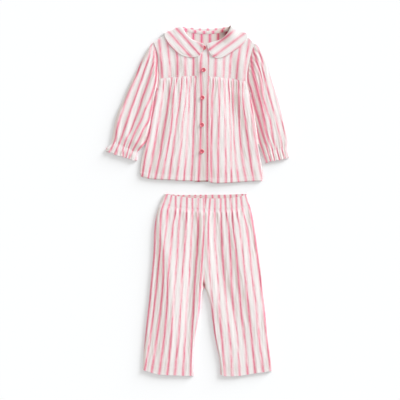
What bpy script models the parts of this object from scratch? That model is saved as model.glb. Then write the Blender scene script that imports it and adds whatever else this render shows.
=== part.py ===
# Toddler's striped pyjama set laid out flat: a gathered, buttoned top above pull-on trousers.
# Metres, +Z up. The cloth lies on z = 0 with its front up and its necks towards +Y, and the
# origin is under the middle of the set. Pattern sizes below are in millimetres, each garment
# in its own frame: x from its centre front, y up from its hem, z up from the ground.
from collections import namedtuple

import bpy
import numpy as np

MM = 0.001
WALL = 1.0                # one layer of cotton with its seam turnings pressed flat
COLLAR_WALL = 1.2         # two layers and an interlining
SEAM_GAP = 0.3            # between neighbouring pieces
TOP_PLACE = (17.5, 48.1)            # the top's frame in the set's frame
TROUSER_PLACE = (16.5, -436.9)      # the trousers' frame in the set's frame

FRONT_HEIGHT = 3.4        # top skin of the front over the body
FRONT_NECK_RISE = 1.0     # more of it where the hidden collar lies under the back
PLACKET_HEIGHT = 3.8      # top skin of the placket at its left edge
PLACKET_TILT = 0.5        # its free right edge is higher by this
PLACKET_NECK_RISE = 1.35  # more of it towards the neck
UNDER_PLACKET_DROP = 1.35
BACK_LIFT_NECK = 1.5      # the back lies on the folded-under collar here
BACK_LIFT_SIDE = 2.95     # and on the sleeves' inner edges here
FRONT_LIFT_SIDE = 2.65    # the front over them
NECK_RAMP = (256, 300)    # heights between which the fronts rise towards the neck
BACK_NECK_RAMP = (286, 304)
BACK_NECK_SIDE_RAMP = (124, 102)    # and how far to each side the folded-under collar reaches
UNDERARM_RAMP = (236, 210)          # below this the body lies on the sleeve's inner edge
SLEEVE_LEAVES_RAMP = (45, 93)       # and here the sleeve has come out from under it
SLEEVE_UNDER_RAMP = (34, 10)        # how far in from the body's side edge the sleeve reaches
PLACKET_SIDE_RAMP = (24, 2)         # beside a placket the front comes up to its height
EDGE_ROUND = 4.0          # a panel's skin turns down over this width at its outer edge
SHOULDER_ROUND = 5.0
EDGE_FALL = 11.0          # a sleeve or leg thins over this width towards its folded edge
SLEEVE_EDGE_HIDDEN = 8.0  # more where the body lies on it
SLEEVE_RADIUS = 1.3       # half the thickness of a sleeve's folded edge
LEG_RADIUS = 1.6
SLEEVE_HEIGHT = 4.5
LEG_HEIGHT = 3.7

BUTTON_RADIUS = 5.2
BUTTON_THICK = 2.4
BUTTON_STEPS = 14
YOKE_GATHERS = 8          # each side of the placket
YOKE_GATHER = 2.6         # height of a gather below the yoke
WAIST_GATHERS = 8         # each leg, front layer
WAIST_GATHER = 2.3
CASING_SEAM = 0.065       # the casing's seam, as a share of the leg's length
CUFF_GATHERS = 6
CUFF_GATHER = 1.8
CUFF_ELASTIC = 0.92       # the elastic above the frill, as a share of the sleeve's length
CAP_GATHERS = 5
CAP_GATHER = 2.0

# start, end: the ridge's place across the panel, 0 to 1, at its upper and lower edge.
# first, last: where along the panel it rises and fades. width: across, 0 to 1. height: mm.
Fold = namedtuple("Fold", "start end first last width height")
# A cut across the collar: its roll, its outer edge, the angle turned about the fold at the
# shoulder and the share of the stand's full height.
Station = namedtuple("Station", "roll edge turn stand")

# Outlines of the top, from the neck down and from the centre out.
SHOULDER_LEFT = [(-62, 383.5), (-80, 374.5), (-100, 365.5), (-115, 357), (-127.5, 348)]
SHOULDER_RIGHT = [(70, 384.5), (88, 375.5), (108, 364), (118, 354.5), (125.5, 346)]
NECK_LEFT = [(-19.3, 343), (-32, 350.5), (-45.5, 362), (-54, 373.5), (-62, 383.5)]
NECK_RIGHT = [(10.8, 342), (23, 346), (37, 350.5), (51, 358.5), (61.5, 370), (70, 384.5)]
BACK_NECK = [(-62, 383.5), (-50, 382.2), (-31, 378), (-11, 375.4), (4, 375), (20, 375.4),
             (39, 378), (58, 382.5), (70, 384.5)]
ARMHOLE_LEFT = [(-127.5, 348), (-120, 329), (-116, 312), (-114, 284), (-113, 266), (-114.2, 256.6)]
ARMHOLE_RIGHT = [(125.5, 346), (119, 329), (114, 311), (109, 289), (106.2, 266), (106, 249.6)]
YOKE_SEAM_LEFT = [(-19.3, 264), (-49, 263), (-74, 261), (-99, 258.5), (-114.2, 256.6)]
YOKE_SEAM_RIGHT = [(10.8, 263), (27, 262), (51, 259), (69, 257), (81, 254.5), (106, 249.6)]
SIDE_LEFT = [(-114.4, 256), (-115.2, 250), (-119, 234), (-125, 204), (-132, 166), (-136, 134),
             (-141, 111), (-148, 89), (-154, 71), (-158, 54), (-161, 34), (-161.5, 21), (-158, 12)]
SIDE_RIGHT = [(106, 249), (106.6, 243), (109, 234), (115, 209), (122, 181), (126, 154), (130, 126),
              (133, 99), (136, 76), (140, 54), (143, 34), (145, 16), (144, 1)]
HEM_LEFT = [(-26.4, 1), (-61, 2), (-86, 4), (-111, 5), (-136, 6.5), (-158, 12)]
HEM_RIGHT = [(9.7, -1), (24, -4), (44, -4), (64, -3), (84, -2), (104, 0), (126, 1), (144, 1)]
PLACKET_LEFT = [(-26, 1), (-24.4, 60), (-22, 120), (-19.6, 190), (-19, 260), (-19, 340)]
PLACKET_RIGHT = [(9.3, 2), (9.8, 60), (10, 120), (10.4, 190), (10.5, 260), (10.5, 340)]
BUTTON_PLACES = [(1.0, 332), (-2.5, 278.5), (-5.5, 209), (-6.5, 141), (-6.5, 75)]

# Collar: its roll at the neck, its outer edge, and the same behind the neck, folded under.
COLLAR_NECK_LEFT = [(-4, 343), (-18, 348), (-30, 354), (-43, 365), (-51, 377), (-61, 390)]
COLLAR_EDGE_LEFT = [(-8, 315), (-18, 311), (-30, 309), (-48, 312), (-66, 318.5), (-80, 330),
                    (-91, 346), (-99, 363), (-98, 376)]
COLLAR_NECK_RIGHT = [(8, 345), (21, 349), (36, 353), (49, 361), (59, 372), (69, 391)]
COLLAR_EDGE_RIGHT = [(17, 313), (24, 309.5), (37, 309), (56, 315), (69, 324), (84, 335), (96, 346),
                     (105, 357), (104, 374)]
BACK_ROLL = [(-61, 390), (-50, 387), (-31, 384.7), (-11, 383.8), (3.8, 383.8)]
BACK_EDGE = [(-98, 376), (-90, 352), (-74, 332), (-50, 318), (-25, 312), (3.8, 310)]
BACK_MIDDLE = 4.0         # centre back
STAND_HEIGHT = 6.6        # of the collar's stand at the centre back
ROLL_RADIUS = 1.4
COLLAR_HEIGHT = 6.1       # top skin of the collar over the yoke
COLLAR_RISE = 1.1         # where it also lies on the plackets
COLLAR_PLACKET_RAMP = (45, 21)
BINDING_WIDTH = 7.0

# Outlines of the sleeves: outer and inner folded edges and cuffs.
CAP_LEFT = [(-120.4, 231), (-116.2, 247), (-114.9, 256.6), (-113.7, 266), (-114.7, 284),
            (-116.7, 312), (-120.7, 329), (-128.2, 348.4)]
OUTER_LEFT = [(-128.2, 348.4), (-138, 337), (-145, 325), (-156, 304), (-168, 279), (-181, 254),
              (-193, 229), (-204, 201), (-215, 178), (-223, 154), (-228, 129), (-232, 106),
              (-234, 94), (-240, 88), (-246, 82), (-246, 75)]
INNER_LEFT = [(-120.4, 231), (-121.8, 227), (-125.4, 208.5), (-127, 188), (-128, 168),
              (-130.5, 143), (-133.5, 123), (-138, 108), (-144.6, 98), (-153, 87.5),
              (-161.5, 80), (-168, 73), (-169.5, 64), (-169, 52)]
CUFF_LEFT = [(-169, 52), (-184, 55), (-192, 59), (-202, 61), (-214, 65), (-223, 67),
             (-232, 72), (-246, 75)]
CAP_RIGHT = [(110.2, 231), (107.2, 242), (106.7, 249.6), (106.9, 266), (109.7, 289),
             (114.7, 311), (119.7, 329), (126.2, 346.4)]
OUTER_RIGHT = [(126.2, 346.4), (137, 337), (145, 326), (152, 311), (158, 294), (163, 276),
               (169, 256), (176, 234), (184, 209), (191, 181), (198, 159), (205, 136),
               (208, 114), (209, 96), (207, 84), (209, 74), (211, 60)]
INNER_RIGHT = [(110.2, 231), (111.8, 227), (116, 207.5), (119, 188), (121.2, 168),
               (123.8, 143), (126.8, 118), (131, 98.5), (135.8, 88.5), (141, 76),
               (146, 63.5), (152, 45.3)]
CUFF_RIGHT = [(152, 45.3), (164, 50), (176, 52), (188, 54), (201, 57), (211, 60)]

# Outlines of the trousers.
RISE = [(2, 445), (1.4, 380), (0.8, 300), (0.3, 245), (0.1, 228), (0, 221)]
WAIST_LEFT = [(2, 445), (-15, 445), (-35, 446), (-53, 447), (-70, 448.5), (-85, 451), (-99, 454)]
WAIST_RIGHT = [(2, 445), (20, 445.5), (40, 447), (60, 449), (80, 450.5), (95, 451.5), (109, 453)]
OUTER_LEG_LEFT = [(-99, 454), (-105, 442), (-110.5, 429), (-115.5, 415), (-119, 402), (-122, 385),
                  (-125, 364), (-126.5, 339), (-128, 301), (-131, 264), (-135, 226), (-138, 189),
                  (-142, 159), (-145, 126), (-148, 89), (-151, 59), (-152.5, 34), (-153, 14)]
OUTER_LEG_RIGHT = [(109, 453), (112, 439), (117, 424), (121, 406), (126, 386), (130, 359),
                   (133, 336), (137, 314), (141, 289), (145, 261), (147.5, 229), (150.5, 194),
                   (154, 164), (157, 134), (160.5, 104), (164, 79), (167, 54), (169.5, 29), (170, 12)]
INSEAM_LEFT = [(-4, 211), (-6, 196), (-8, 179), (-10, 161), (-12, 144), (-13.5, 126), (-17, 109),
               (-21, 91), (-24, 69), (-25.5, 44), (-26, 19), (-25, 0)]
INSEAM_RIGHT = [(5, 211), (10, 196), (14, 181), (17, 164), (19, 144), (22, 126), (24, 109),
                (28, 89), (32, 69), (36.5, 49), (39.5, 26), (41, 3)]
LEG_HEM_LEFT = [(-25, 0), (-48, 0), (-73, 1), (-98, 2), (-110, 3), (-123, 5), (-135, 9), (-153, 14)]
LEG_HEM_RIGHT = [(41, 3), (52, -1), (70, -1), (90, 0), (108, 3), (127, 6), (148, 9), (170, 12)]
BACK_WAIST_RISE = 4.5     # the back of the waist shows this far above the front
CROTCH_RAMP = (0.48, 0.51)          # shares of a leg's length over which its front and back join up

FOLDS_FRONT_LEFT = [Fold(0.50, 0.40, 0.0, 1.2, 0.09, 2.5), Fold(0.91, 0.88, 0.1, 1.2, 0.05, 1.8),
                    Fold(0.19, 0.15, 0.0, 0.9, 0.05, 1.5), Fold(0.70, 0.64, 0.3, 1.2, 0.05, 1.2)]
FOLDS_FRONT_RIGHT = [Fold(0.24, 0.20, 0.0, 1.2, 0.08, 2.6), Fold(0.74, 0.88, 0.0, 1.2, 0.06, 2.1),
                     Fold(0.50, 0.47, 0.3, 1.2, 0.06, 1.3)]
FOLDS_SLEEVE_LEFT = [Fold(0.55, 0.45, 0.1, 0.95, 0.09, 1.6), Fold(0.80, 0.76, 0.3, 1.0, 0.06, 1.1)]
FOLDS_SLEEVE_RIGHT = [Fold(0.62, 0.52, 0.1, 0.95, 0.09, 1.7), Fold(0.32, 0.30, 0.3, 1.0, 0.06, 1.1)]
FOLDS_LEG_LEFT = [Fold(0.40, 0.20, 0.05, 0.7, 0.07, 2.0), Fold(0.80, 0.45, 0.1, 1.2, 0.08, 2.1),
                  Fold(0.10, 0.15, 0.25, 1.0, 0.05, 1.4)]
FOLDS_LEG_RIGHT = [Fold(0.09, 0.07, 0.08, 0.5, 0.05, 1.5), Fold(0.56, 0.70, 0.05, 1.2, 0.07, 2.4),
                   Fold(0.27, 0.42, 0.3, 1.2, 0.06, 1.5)]

# Where the rows of a panel lie, as shares of its length; closer at seams and gathers.
YOKE_ROWS = (0, 0.14, 0.3, 0.46, 0.62, 0.78, 0.91, 0.97, 1)
FRONT_ROWS = (0, 0.03, 0.07, 0.12, 0.19, 0.28, 0.38, 0.49, 0.60, 0.71, 0.82, 0.92, 1)
SLEEVE_ROWS = (0, 0.04, 0.09, 0.16, 0.26, 0.37, 0.48, 0.59, 0.70, 0.79, 0.86, 0.91, 0.95, 1)
LEG_ROWS = (0, 0.03, 0.065, 0.10, 0.15, 0.23, 0.33, 0.43, 0.485, 0.515, 0.60, 0.70, 0.80, 0.90, 1)
BACK_COLUMNS = 15
BACK_ROWS = 11
YOKE_COLUMNS = 11
COLLAR_FRONT_STATIONS = 10
COLLAR_FOLD_ANGLES = (5, 45, 90, 135, 175)      # round the fold at the shoulder
COLLAR_BACK_STATIONS = (0.18, 0.4, 0.62, 0.82, 1.0)
ARC = np.radians((8.0, 35.0, 63.0))    # columns round each quarter of a folded edge


def ease(value):
    value = np.clip(value, 0.0, 1.0)
    return value * value * (3.0 - 2.0 * value)


def ramp(value, start, end):
    # 0 at start and before it, 1 at end and after it, smooth between.
    return ease((value - start) / (end - start))


def along(points, share):
    # Points on a smooth line through hand-set points, at shares of its length.
    knots = np.array(points, float)
    steps = np.append(0.0, np.cumsum(np.linalg.norm(np.diff(knots, axis=0), axis=1)))
    steps /= steps[-1]
    slopes = np.gradient(knots, steps, axis=0)
    share = np.asarray(share, float)
    part = np.clip(np.searchsorted(steps, share, side="right") - 1, 0, len(steps) - 2)
    span = (steps[part + 1] - steps[part])[..., None]
    t = (share[..., None] - steps[part][..., None]) / span
    start = knots[part] * (1 + 2 * t) * (1 - t) ** 2 + slopes[part] * span * t * (1 - t) ** 2
    end = knots[part + 1] * t * t * (3 - 2 * t) + slopes[part + 1] * span * t * t * (t - 1)
    return start + end


def moved(points, dx, dy):
    return [(x + dx, y + dy) for x, y in points]


def plan(low, high, start, end, u, v):
    # A panel's plan between four edges: low and high run from start to end.
    u = u[..., None]
    v = v[..., None]
    between = (1 - v) * along(low, u[..., 0]) + v * along(high, u[..., 0])
    across = (1 - u) * along(start, v[..., 0]) + u * along(end, v[..., 0])
    low, high = np.array(low, float), np.array(high, float)
    corners = (1 - v) * ((1 - u) * low[0] + u * low[-1]) + v * ((1 - u) * high[0] + u * high[-1])
    return between + across - corners


def side_x(side, y):
    places = np.array(side, float)
    return np.interp(y, places[::-1, 1], places[::-1, 0])


def on_sleeves(x, y):
    # 1 where the body lies on the sleeves' inner edges, 0 elsewhere.
    inside = np.minimum(x - side_x(SIDE_LEFT, y), side_x(SIDE_RIGHT, y) - x)
    return ramp(y, *UNDERARM_RAMP) * ramp(y, *SLEEVE_LEAVES_RAMP) * ramp(inside, *SLEEVE_UNDER_RAMP)


def lift(x, y):
    # Height of the back over the ground: over the hidden collar and the sleeves' inner edges.
    collar_below = ramp(y, *BACK_NECK_RAMP) * ramp(np.abs(x - BACK_MIDDLE), *BACK_NECK_SIDE_RAMP)
    return BACK_LIFT_NECK * collar_below + BACK_LIFT_SIDE * on_sleeves(x, y)


def placket_height(x, y):
    tilt = PLACKET_TILT * ramp(x, -22, 10)
    return PLACKET_HEIGHT + tilt + PLACKET_NECK_RISE * ramp(y, *NECK_RAMP)


def front_height(x, y):
    # Top skin of yokes and fronts: it rises to the neck, to the placket and over the sleeves.
    height = FRONT_HEIGHT + FRONT_NECK_RISE * ramp(y, *NECK_RAMP) + FRONT_LIFT_SIDE * on_sleeves(x, y)
    beside = np.where(x < 0, PLACKET_LEFT[-1][0] - x, x - PLACKET_RIGHT[-1][0])
    edge = placket_height(x, y) - np.where(x < 0, 0, PLACKET_TILT)
    return height + (edge - height) * ramp(beside, *PLACKET_SIDE_RAMP)


def folds(table, u, v):
    total = np.zeros_like(u * v)
    for fold in table:
        centre = fold.start + (fold.end - fold.start) * v
        reach = ease((v - fold.first + 0.08) / 0.16) * ease((fold.last - v) / 0.16)
        total += fold.height * reach * np.exp(-((u - centre) / fold.width) ** 2)
    return total


def gathers(count, u, v, seam, reach, height):
    # Waves that spring from a seam, uneven in height, and fade within their reach.
    away = np.abs(v - seam)
    uneven = 0.75 + 0.25 * np.sin(2.6 * count * u + 1.0)
    wave = (0.5 + 0.5 * np.cos(2 * np.pi * count * u)) ** 1.5
    length = reach * (0.75 + 0.25 * np.sin(4.1 * count * u))
    return height * uneven * wave * ease(away / (0.12 * reach)) * (1 - ease(away / length))


def cloth(name, points, material, wall=WALL, facing_up=(0, 0)):
    # One cut piece: a grid of outer points with its wall inside them.
    rows, columns = points.shape[:2]
    index = np.arange(rows * columns).reshape(rows, columns)
    row, column = facing_up
    edge_a = points[row, column + 1] - points[row, column]
    edge_b = points[row + 1, column] - points[row, column]
    faces = [(index[i, j], index[i, j + 1], index[i + 1, j + 1], index[i + 1, j])
             for i in range(rows - 1) for j in range(columns - 1)]
    if np.cross(edge_a, edge_b)[2] < 0:
        faces = [face[::-1] for face in faces]
    mesh = bpy.data.meshes.new(name)
    mesh.from_pydata([tuple(p) for p in points.reshape(-1, 3) * MM], [],
                     [tuple(int(i) for i in face) for face in faces])
    mesh.materials.append(material)
    mesh.shade_smooth()
    piece = bpy.data.objects.new(name, mesh)
    solid = piece.modifiers.new("wall", "SOLIDIFY")
    solid.thickness = wall * MM
    solid.offset = -1
    solid.use_even_offset = True
    shading = piece.modifiers.new("shading", "WEIGHTED_NORMAL")
    shading.weight = 80
    return piece


def material(name, colour, roughness):
    made = bpy.data.materials.new(name)
    made.use_nodes = True
    shader = made.node_tree.nodes["Principled BSDF"]
    shader.inputs["Base Color"].default_value = (*colour, 1)
    shader.inputs["Roughness"].default_value = roughness
    made.diffuse_color = (*colour, 1)
    return made


def edge_columns(interior, width):
    # Shares across a panel, closer together round its outer edge.
    bend = 1 - EDGE_ROUND * (1 - np.cos(np.radians((70.0, 40.0, 0.0)))) / width
    return np.append(np.linspace(0, 1 - 1.5 * EDGE_ROUND / width, interior), bend)


def rounded(z, low, distance, radius=EDGE_ROUND):
    # Brings a panel's skin down to its lower neighbour in a quarter turn at its edge.
    turn = np.sqrt(np.clip(1 - (1 - np.clip(distance / radius, 0, 1)) ** 2, 0, 1))
    return low + (z - low) * turn


def back_panel(cotton):
    u, v = np.meshgrid(np.linspace(0, 1, BACK_COLUMNS), np.linspace(0, 1, BACK_ROWS))
    inset = 1.2
    hem = moved(HEM_LEFT[::-1], 0, 2) + moved(HEM_RIGHT, 0, 5)
    hem = [(x * 0.99, y) for x, y in hem]
    top = SHOULDER_LEFT[::-1] + BACK_NECK[1:-1] + SHOULDER_RIGHT
    left = moved(SIDE_LEFT[::-1] + ARMHOLE_LEFT[-2::-1], inset, 0)
    right = moved(SIDE_RIGHT[::-1] + ARMHOLE_RIGHT[-2::-1], -inset, 0)
    left[0], right[0] = hem[0], hem[-1]
    left[-1], right[-1] = top[0], top[-1]
    flat = plan(hem, top, left, right, u, v)
    z = WALL + lift(flat[..., 0], flat[..., 1])
    return cloth("top_back", np.dstack([flat, z]), cotton)


def yoke(name, seam, neck, shoulder, armhole, cotton):
    # The neck edge and the shoulder meet at a corner of the far side. The shoulder's edge turns
    # down to the back.
    u, v = np.meshgrid(np.linspace(0, 1, YOKE_COLUMNS), np.array(YOKE_ROWS))
    beside_placket = [seam[0], (seam[0][0], 300), neck[0]]
    flat = plan(seam, neck + shoulder[1:], beside_placket, armhole[::-1], u, v)
    x, y = flat[..., 0], flat[..., 1]
    shoulder_y = np.interp(x, *np.array(sorted(shoulder)).T)
    below_shoulder = shoulder_y - y + 100 * (y < 330)
    low = WALL + lift(x, y) + SEAM_GAP + 0.9 * WALL
    z = rounded(front_height(x, y), low, below_shoulder, SHOULDER_ROUND)
    return cloth(name, np.dstack([flat, z]), cotton)


def front(name, seam, hem, middle, side, table, cotton):
    columns = edge_columns(4 * YOKE_GATHERS, abs(side[6][0] - middle[0][0]))
    u, v = np.meshgrid(columns, np.array(FRONT_ROWS))
    top = moved(seam, 0, -SEAM_GAP - 0.1)
    top[-1] = side[0]
    middle = [top[0]] + [p for p in middle if 20 < p[1] < 255] + [hem[0]]
    flat = plan(top, hem, middle, side, u, v)
    x, y = flat[..., 0], flat[..., 1]
    height = front_height(x, y) + folds(table, u, v)
    height += gathers(YOKE_GATHERS, u, v, 0.0, 0.5, YOKE_GATHER)
    low = lift(x, y) + WALL + SEAM_GAP + 0.1
    inside = np.abs(x - side_x(side, np.clip(y, side[-1][1], side[0][1])))
    inside += 30 * ramp(y, 228, 240)     # by the armhole the edge is a seam, and stays up
    z = rounded(height, low, inside)
    return cloth(name, np.dstack([flat, z]), cotton)


def plackets(cotton):
    u, v = np.meshgrid(np.linspace(0, 1, 4), np.linspace(0, 1, 13))
    bands = []
    for name, inset, drop in (("placket", 0.0, 0.0), ("under_placket", 1.0, UNDER_PLACKET_DROP)):
        left = moved(PLACKET_LEFT, inset, 0)
        right = moved(PLACKET_RIGHT, -inset, 0)
        flat = plan([left[0], right[0]], [left[-1], right[-1]], left, right, u, v)
        z = placket_height(flat[..., 0], flat[..., 1]) - drop
        bands.append(cloth(name, np.dstack([flat, z]), cotton))
    return bands


def collar_stations(neck, edge, back_roll, back_edge):
    stations = [Station(along(neck, share), along(edge, share), 0.0, 0.0)
                for share in np.linspace(0, 0.93, COLLAR_FRONT_STATIONS)]
    stations += [Station(np.array(neck[-1], float), np.array(edge[-1], float), np.radians(angle), 0.0)
                 for angle in COLLAR_FOLD_ANGLES]
    stations += [Station(along(back_roll, share), along(back_edge, share), np.pi, share)
                 for share in COLLAR_BACK_STATIONS]
    return stations


def collar_section(span, turn, stand):
    # Across the collar: from the neck seam up the stand, round the roll and out to the edge, as
    # reach from the roll and height under its top skin.
    roll = np.radians(80) + np.radians(100) * turn / np.pi
    angles = roll * np.array((1.0, 0.66, 0.33))
    round_roll = list(zip(ROLL_RADIUS * (1 - np.sin(angles)), -ROLL_RADIUS * (1 - np.cos(angles))))
    first = (round_roll[0][0] + STAND_HEIGHT * stand, round_roll[0][1])
    if stand == 0:
        first = (first[0] - 0.1 * np.cos(roll), first[1] - 0.35)
    fall = [(ROLL_RADIUS + (span - ROLL_RADIUS) * part, 0.0) for part in (0, 0.25, 0.5, 0.75, 0.94, 1)]
    return [first] + round_roll + fall


def collar(name, neck, edge, back_roll, back_edge, cotton):
    # Rows run from the front corner over the shoulder fold to the centre back.
    fold_radius = COLLAR_HEIGHT / 2
    line = np.array(edge[-1], float) - np.array(neck[-1], float)
    outward = np.array((line[1], -line[0])) / np.linalg.norm(line)
    outward *= np.sign(outward[1])
    grid = []
    for roll, outer, turn, stand in collar_stations(neck, edge, back_roll, back_edge):
        span = np.linalg.norm(outer - roll)
        direction = (outer - roll) / span
        row = []
        for reach, depth in collar_section(span, turn, stand):
            place = roll + reach * direction
            if turn > 0 and stand == 0:
                radius = fold_radius + depth
                place = place + (radius * np.sin(turn) - fold_radius) * outward
                z = fold_radius + radius * np.cos(turn)
            elif turn == 0:
                on_placket = ramp(abs(place[0]), *COLLAR_PLACKET_RAMP)
                z = COLLAR_HEIGHT + COLLAR_RISE * on_placket + depth
            else:
                z = -depth
            row.append((*place, z))
        grid.append(row)
    return cloth(name, np.array(grid), cotton, wall=COLLAR_WALL, facing_up=(1, 5))


def neck_binding(cotton):
    edge = BACK_NECK[1:-1]
    u, v = np.meshgrid(np.linspace(0, 1, 10), np.array((0.0, 1.0)))
    upper = along(moved(edge, 0, -0.8), u)
    lower = along(moved(edge, 0, -0.8 - BINDING_WIDTH), u)
    flat = upper * (1 - v[..., None]) + lower * v[..., None]
    z = 2 * WALL + SEAM_GAP + lift(flat[..., 0], flat[..., 1])
    return cloth("neck_binding", np.dstack([flat, z]), cotton)


def tube(name, plans, rows, radius, height, closed, hidden, cotton, columns):
    # A flattened tube as one strip: from its seam over the front, round the outer edge and back
    # under. Where closed is 0 the strip is open, and its front and back end at a centre seam.
    # hidden is the width at its inner edge that another piece lies on.
    front_plan, back_plan = plans
    v = np.array(rows, float)[:, None]
    closing = closed(v)
    width = np.linalg.norm(along(front_plan[3], v[:, 0]) - along(front_plan[2], v[:, 0]), axis=1)[:, None]
    round_in = radius * (1 - np.cos(ARC))
    flat_in = radius * np.linspace(0, 0.65, 3)
    inner = closing * round_in + (1 - closing) * flat_in
    middle = radius + np.linspace(0, 1, columns) * (width - 2 * radius)
    outer = width - round_in[::-1]
    distance = np.hstack([inner, middle, outer])
    u = distance / width
    top = plan(*front_plan, u, v + 0 * u)
    full = height(u, v, distance)
    rise_out = ease((width - radius - distance) / EDGE_FALL)
    rise_in = 1 - closing * (1 - ease((distance - radius - hidden(v)) / EDGE_FALL))
    z = 2 * radius + (full - 2 * radius) * rise_out * rise_in
    for k in range(3):
        z[:, k] = closing[:, 0] * radius * (1 + np.sin(ARC[k])) + (1 - closing[:, 0]) * z[:, 3]
        z[:, -1 - k] = radius * (1 + np.sin(ARC[k]))
    below = np.hstack([width - round_in, radius + np.linspace(1, 0, 6) * (width - 2 * radius),
                       inner[:, ::-1]])
    u = below / width
    under = plan(*back_plan, u, v + 0 * u)
    z_under = np.zeros_like(u)
    for k in range(3):
        z_under[:, k] = radius * (1 - np.sin(ARC[k]))
        z_under[:, -1 - k] = closing[:, 0] * radius * (1 - np.sin(ARC[k]))
    grid = np.concatenate([np.dstack([top, z]), np.dstack([under, z_under])], axis=1)
    return cloth(name, grid, cotton, facing_up=(5, 8))


def sleeve(name, cap, cuff, inner, outer, table, cotton):
    def height(u, v, distance):
        puff = FRONT_HEIGHT + (SLEEVE_HEIGHT - FRONT_HEIGHT) * ramp(v, 0, 0.12)
        waves = gathers(CAP_GATHERS, u, v, 0.0, 0.36, CAP_GATHER) * ramp(u, 0.25, 0.45)
        waves = waves + gathers(CUFF_GATHERS, u, v, CUFF_ELASTIC, 0.32, CUFF_GATHER)
        pinch = 1.2 * np.exp(-((v - CUFF_ELASTIC) / 0.03) ** 2)
        return puff + waves + folds(table, u, v) - pinch

    def under_body(v):
        return SLEEVE_EDGE_HIDDEN * ramp(v, 0, 0.1) * ramp(v, 0.8, 0.68)

    layer = (cap, cuff, inner, outer)
    return tube(name, (layer, layer), SLEEVE_ROWS, SLEEVE_RADIUS, height, np.ones_like, under_body,
                cotton, 3 * CUFF_GATHERS + 1)


def leg(name, waist, hem, inseam, outer, sign, table, cotton):
    def height(u, v, distance):
        waves = gathers(WAIST_GATHERS, u, v, CASING_SEAM, 0.3, WAIST_GATHER) + folds(table, u, v)
        casing = 0.5 * ramp(v, CASING_SEAM + 0.015, CASING_SEAM - 0.015)
        seam = 0.5 * np.exp(-((v - CASING_SEAM) / 0.012) ** 2)
        return LEG_HEIGHT + waves + casing - seam

    def closed(v):
        return ramp(v, *CROTCH_RAMP)

    gap = SEAM_GAP / 2
    inner = moved(RISE, sign * gap, 0) + inseam
    front_waist = [inner[0]] + waist[1:]
    back_waist = [(x, y + BACK_WAIST_RISE * (1 - abs(x / waist[-1][0]))) for x, y in waist]
    back_waist[0] = (inner[0][0], back_waist[0][1])
    back_waist[-1] = waist[-1]
    back_inner = [back_waist[0]] + inner[1:]
    plans = ((front_waist, hem, inner, outer), (back_waist, hem, back_inner, outer))
    return tube(name, plans, LEG_ROWS, LEG_RADIUS, height, closed, lambda v: 0 * v, cotton,
                3 * WAIST_GATHERS)


def button(number, place, plastic):
    # A turned disc with a raised rim round a shallow dish.
    x, y = place
    thick = BUTTON_THICK
    profile = [(0, 0.62 * thick), (2.4, 0.62 * thick), (3.3, 0.95 * thick), (4.3, thick),
               (BUTTON_RADIUS, 0.6 * thick), (4.6, 0.1 * thick), (3.8, 0), (0, 0)]
    name = f"button_{number}"
    mesh = bpy.data.meshes.new(name)
    mesh.from_pydata([(r * MM, 0, z * MM) for r, z in profile],
                     [(i, i + 1) for i in range(len(profile) - 1)], [])
    mesh.materials.append(plastic)
    disc = bpy.data.objects.new(name, mesh)
    turn = disc.modifiers.new("turned", "SCREW")
    turn.steps = BUTTON_STEPS
    turn.render_steps = BUTTON_STEPS
    turn.use_merge_vertices = True
    turn.merge_threshold = 0.00001
    turn.use_smooth_shade = True
    disc.location = (x * MM, y * MM, (placket_height(x, y) + SEAM_GAP) * MM)
    return disc


def mirrored_back(points):
    # The hidden back of the collar is the same both sides of the centre back.
    return [(2 * BACK_MIDDLE - x, y) for x, y in points]


def top_pieces(cotton, plastic):
    roll_right = mirrored_back(BACK_ROLL)
    edge_right = mirrored_back(BACK_EDGE)
    roll_right[0], edge_right[0] = COLLAR_NECK_RIGHT[-1], COLLAR_EDGE_RIGHT[-1]
    pieces = [
        back_panel(cotton),
        yoke("yoke_left", YOKE_SEAM_LEFT, NECK_LEFT, SHOULDER_LEFT, ARMHOLE_LEFT, cotton),
        yoke("yoke_right", YOKE_SEAM_RIGHT, NECK_RIGHT, SHOULDER_RIGHT, ARMHOLE_RIGHT, cotton),
        front("front_left", YOKE_SEAM_LEFT, HEM_LEFT, moved(PLACKET_LEFT[::-1], -SEAM_GAP, 0),
              SIDE_LEFT, FOLDS_FRONT_LEFT, cotton),
        front("front_right", YOKE_SEAM_RIGHT, HEM_RIGHT, moved(PLACKET_RIGHT[::-1], SEAM_GAP, 0),
              SIDE_RIGHT, FOLDS_FRONT_RIGHT, cotton),
        collar("collar_left", COLLAR_NECK_LEFT, COLLAR_EDGE_LEFT, BACK_ROLL, BACK_EDGE, cotton),
        collar("collar_right", COLLAR_NECK_RIGHT, COLLAR_EDGE_RIGHT, roll_right, edge_right, cotton),
        neck_binding(cotton),
        sleeve("sleeve_left", CAP_LEFT, CUFF_LEFT, INNER_LEFT, OUTER_LEFT, FOLDS_SLEEVE_LEFT, cotton),
        sleeve("sleeve_right", CAP_RIGHT, CUFF_RIGHT, INNER_RIGHT, OUTER_RIGHT, FOLDS_SLEEVE_RIGHT,
               cotton),
    ]
    pieces += plackets(cotton)
    pieces += [button(number, place, plastic) for number, place in enumerate(BUTTON_PLACES, 1)]
    return pieces


def trouser_pieces(cotton):
    return [
        leg("leg_left", WAIST_LEFT, LEG_HEM_LEFT, INSEAM_LEFT, OUTER_LEG_LEFT, -1, FOLDS_LEG_LEFT,
            cotton),
        leg("leg_right", WAIST_RIGHT, LEG_HEM_RIGHT, INSEAM_RIGHT, OUTER_LEG_RIGHT, 1,
            FOLDS_LEG_RIGHT, cotton),
    ]


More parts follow.
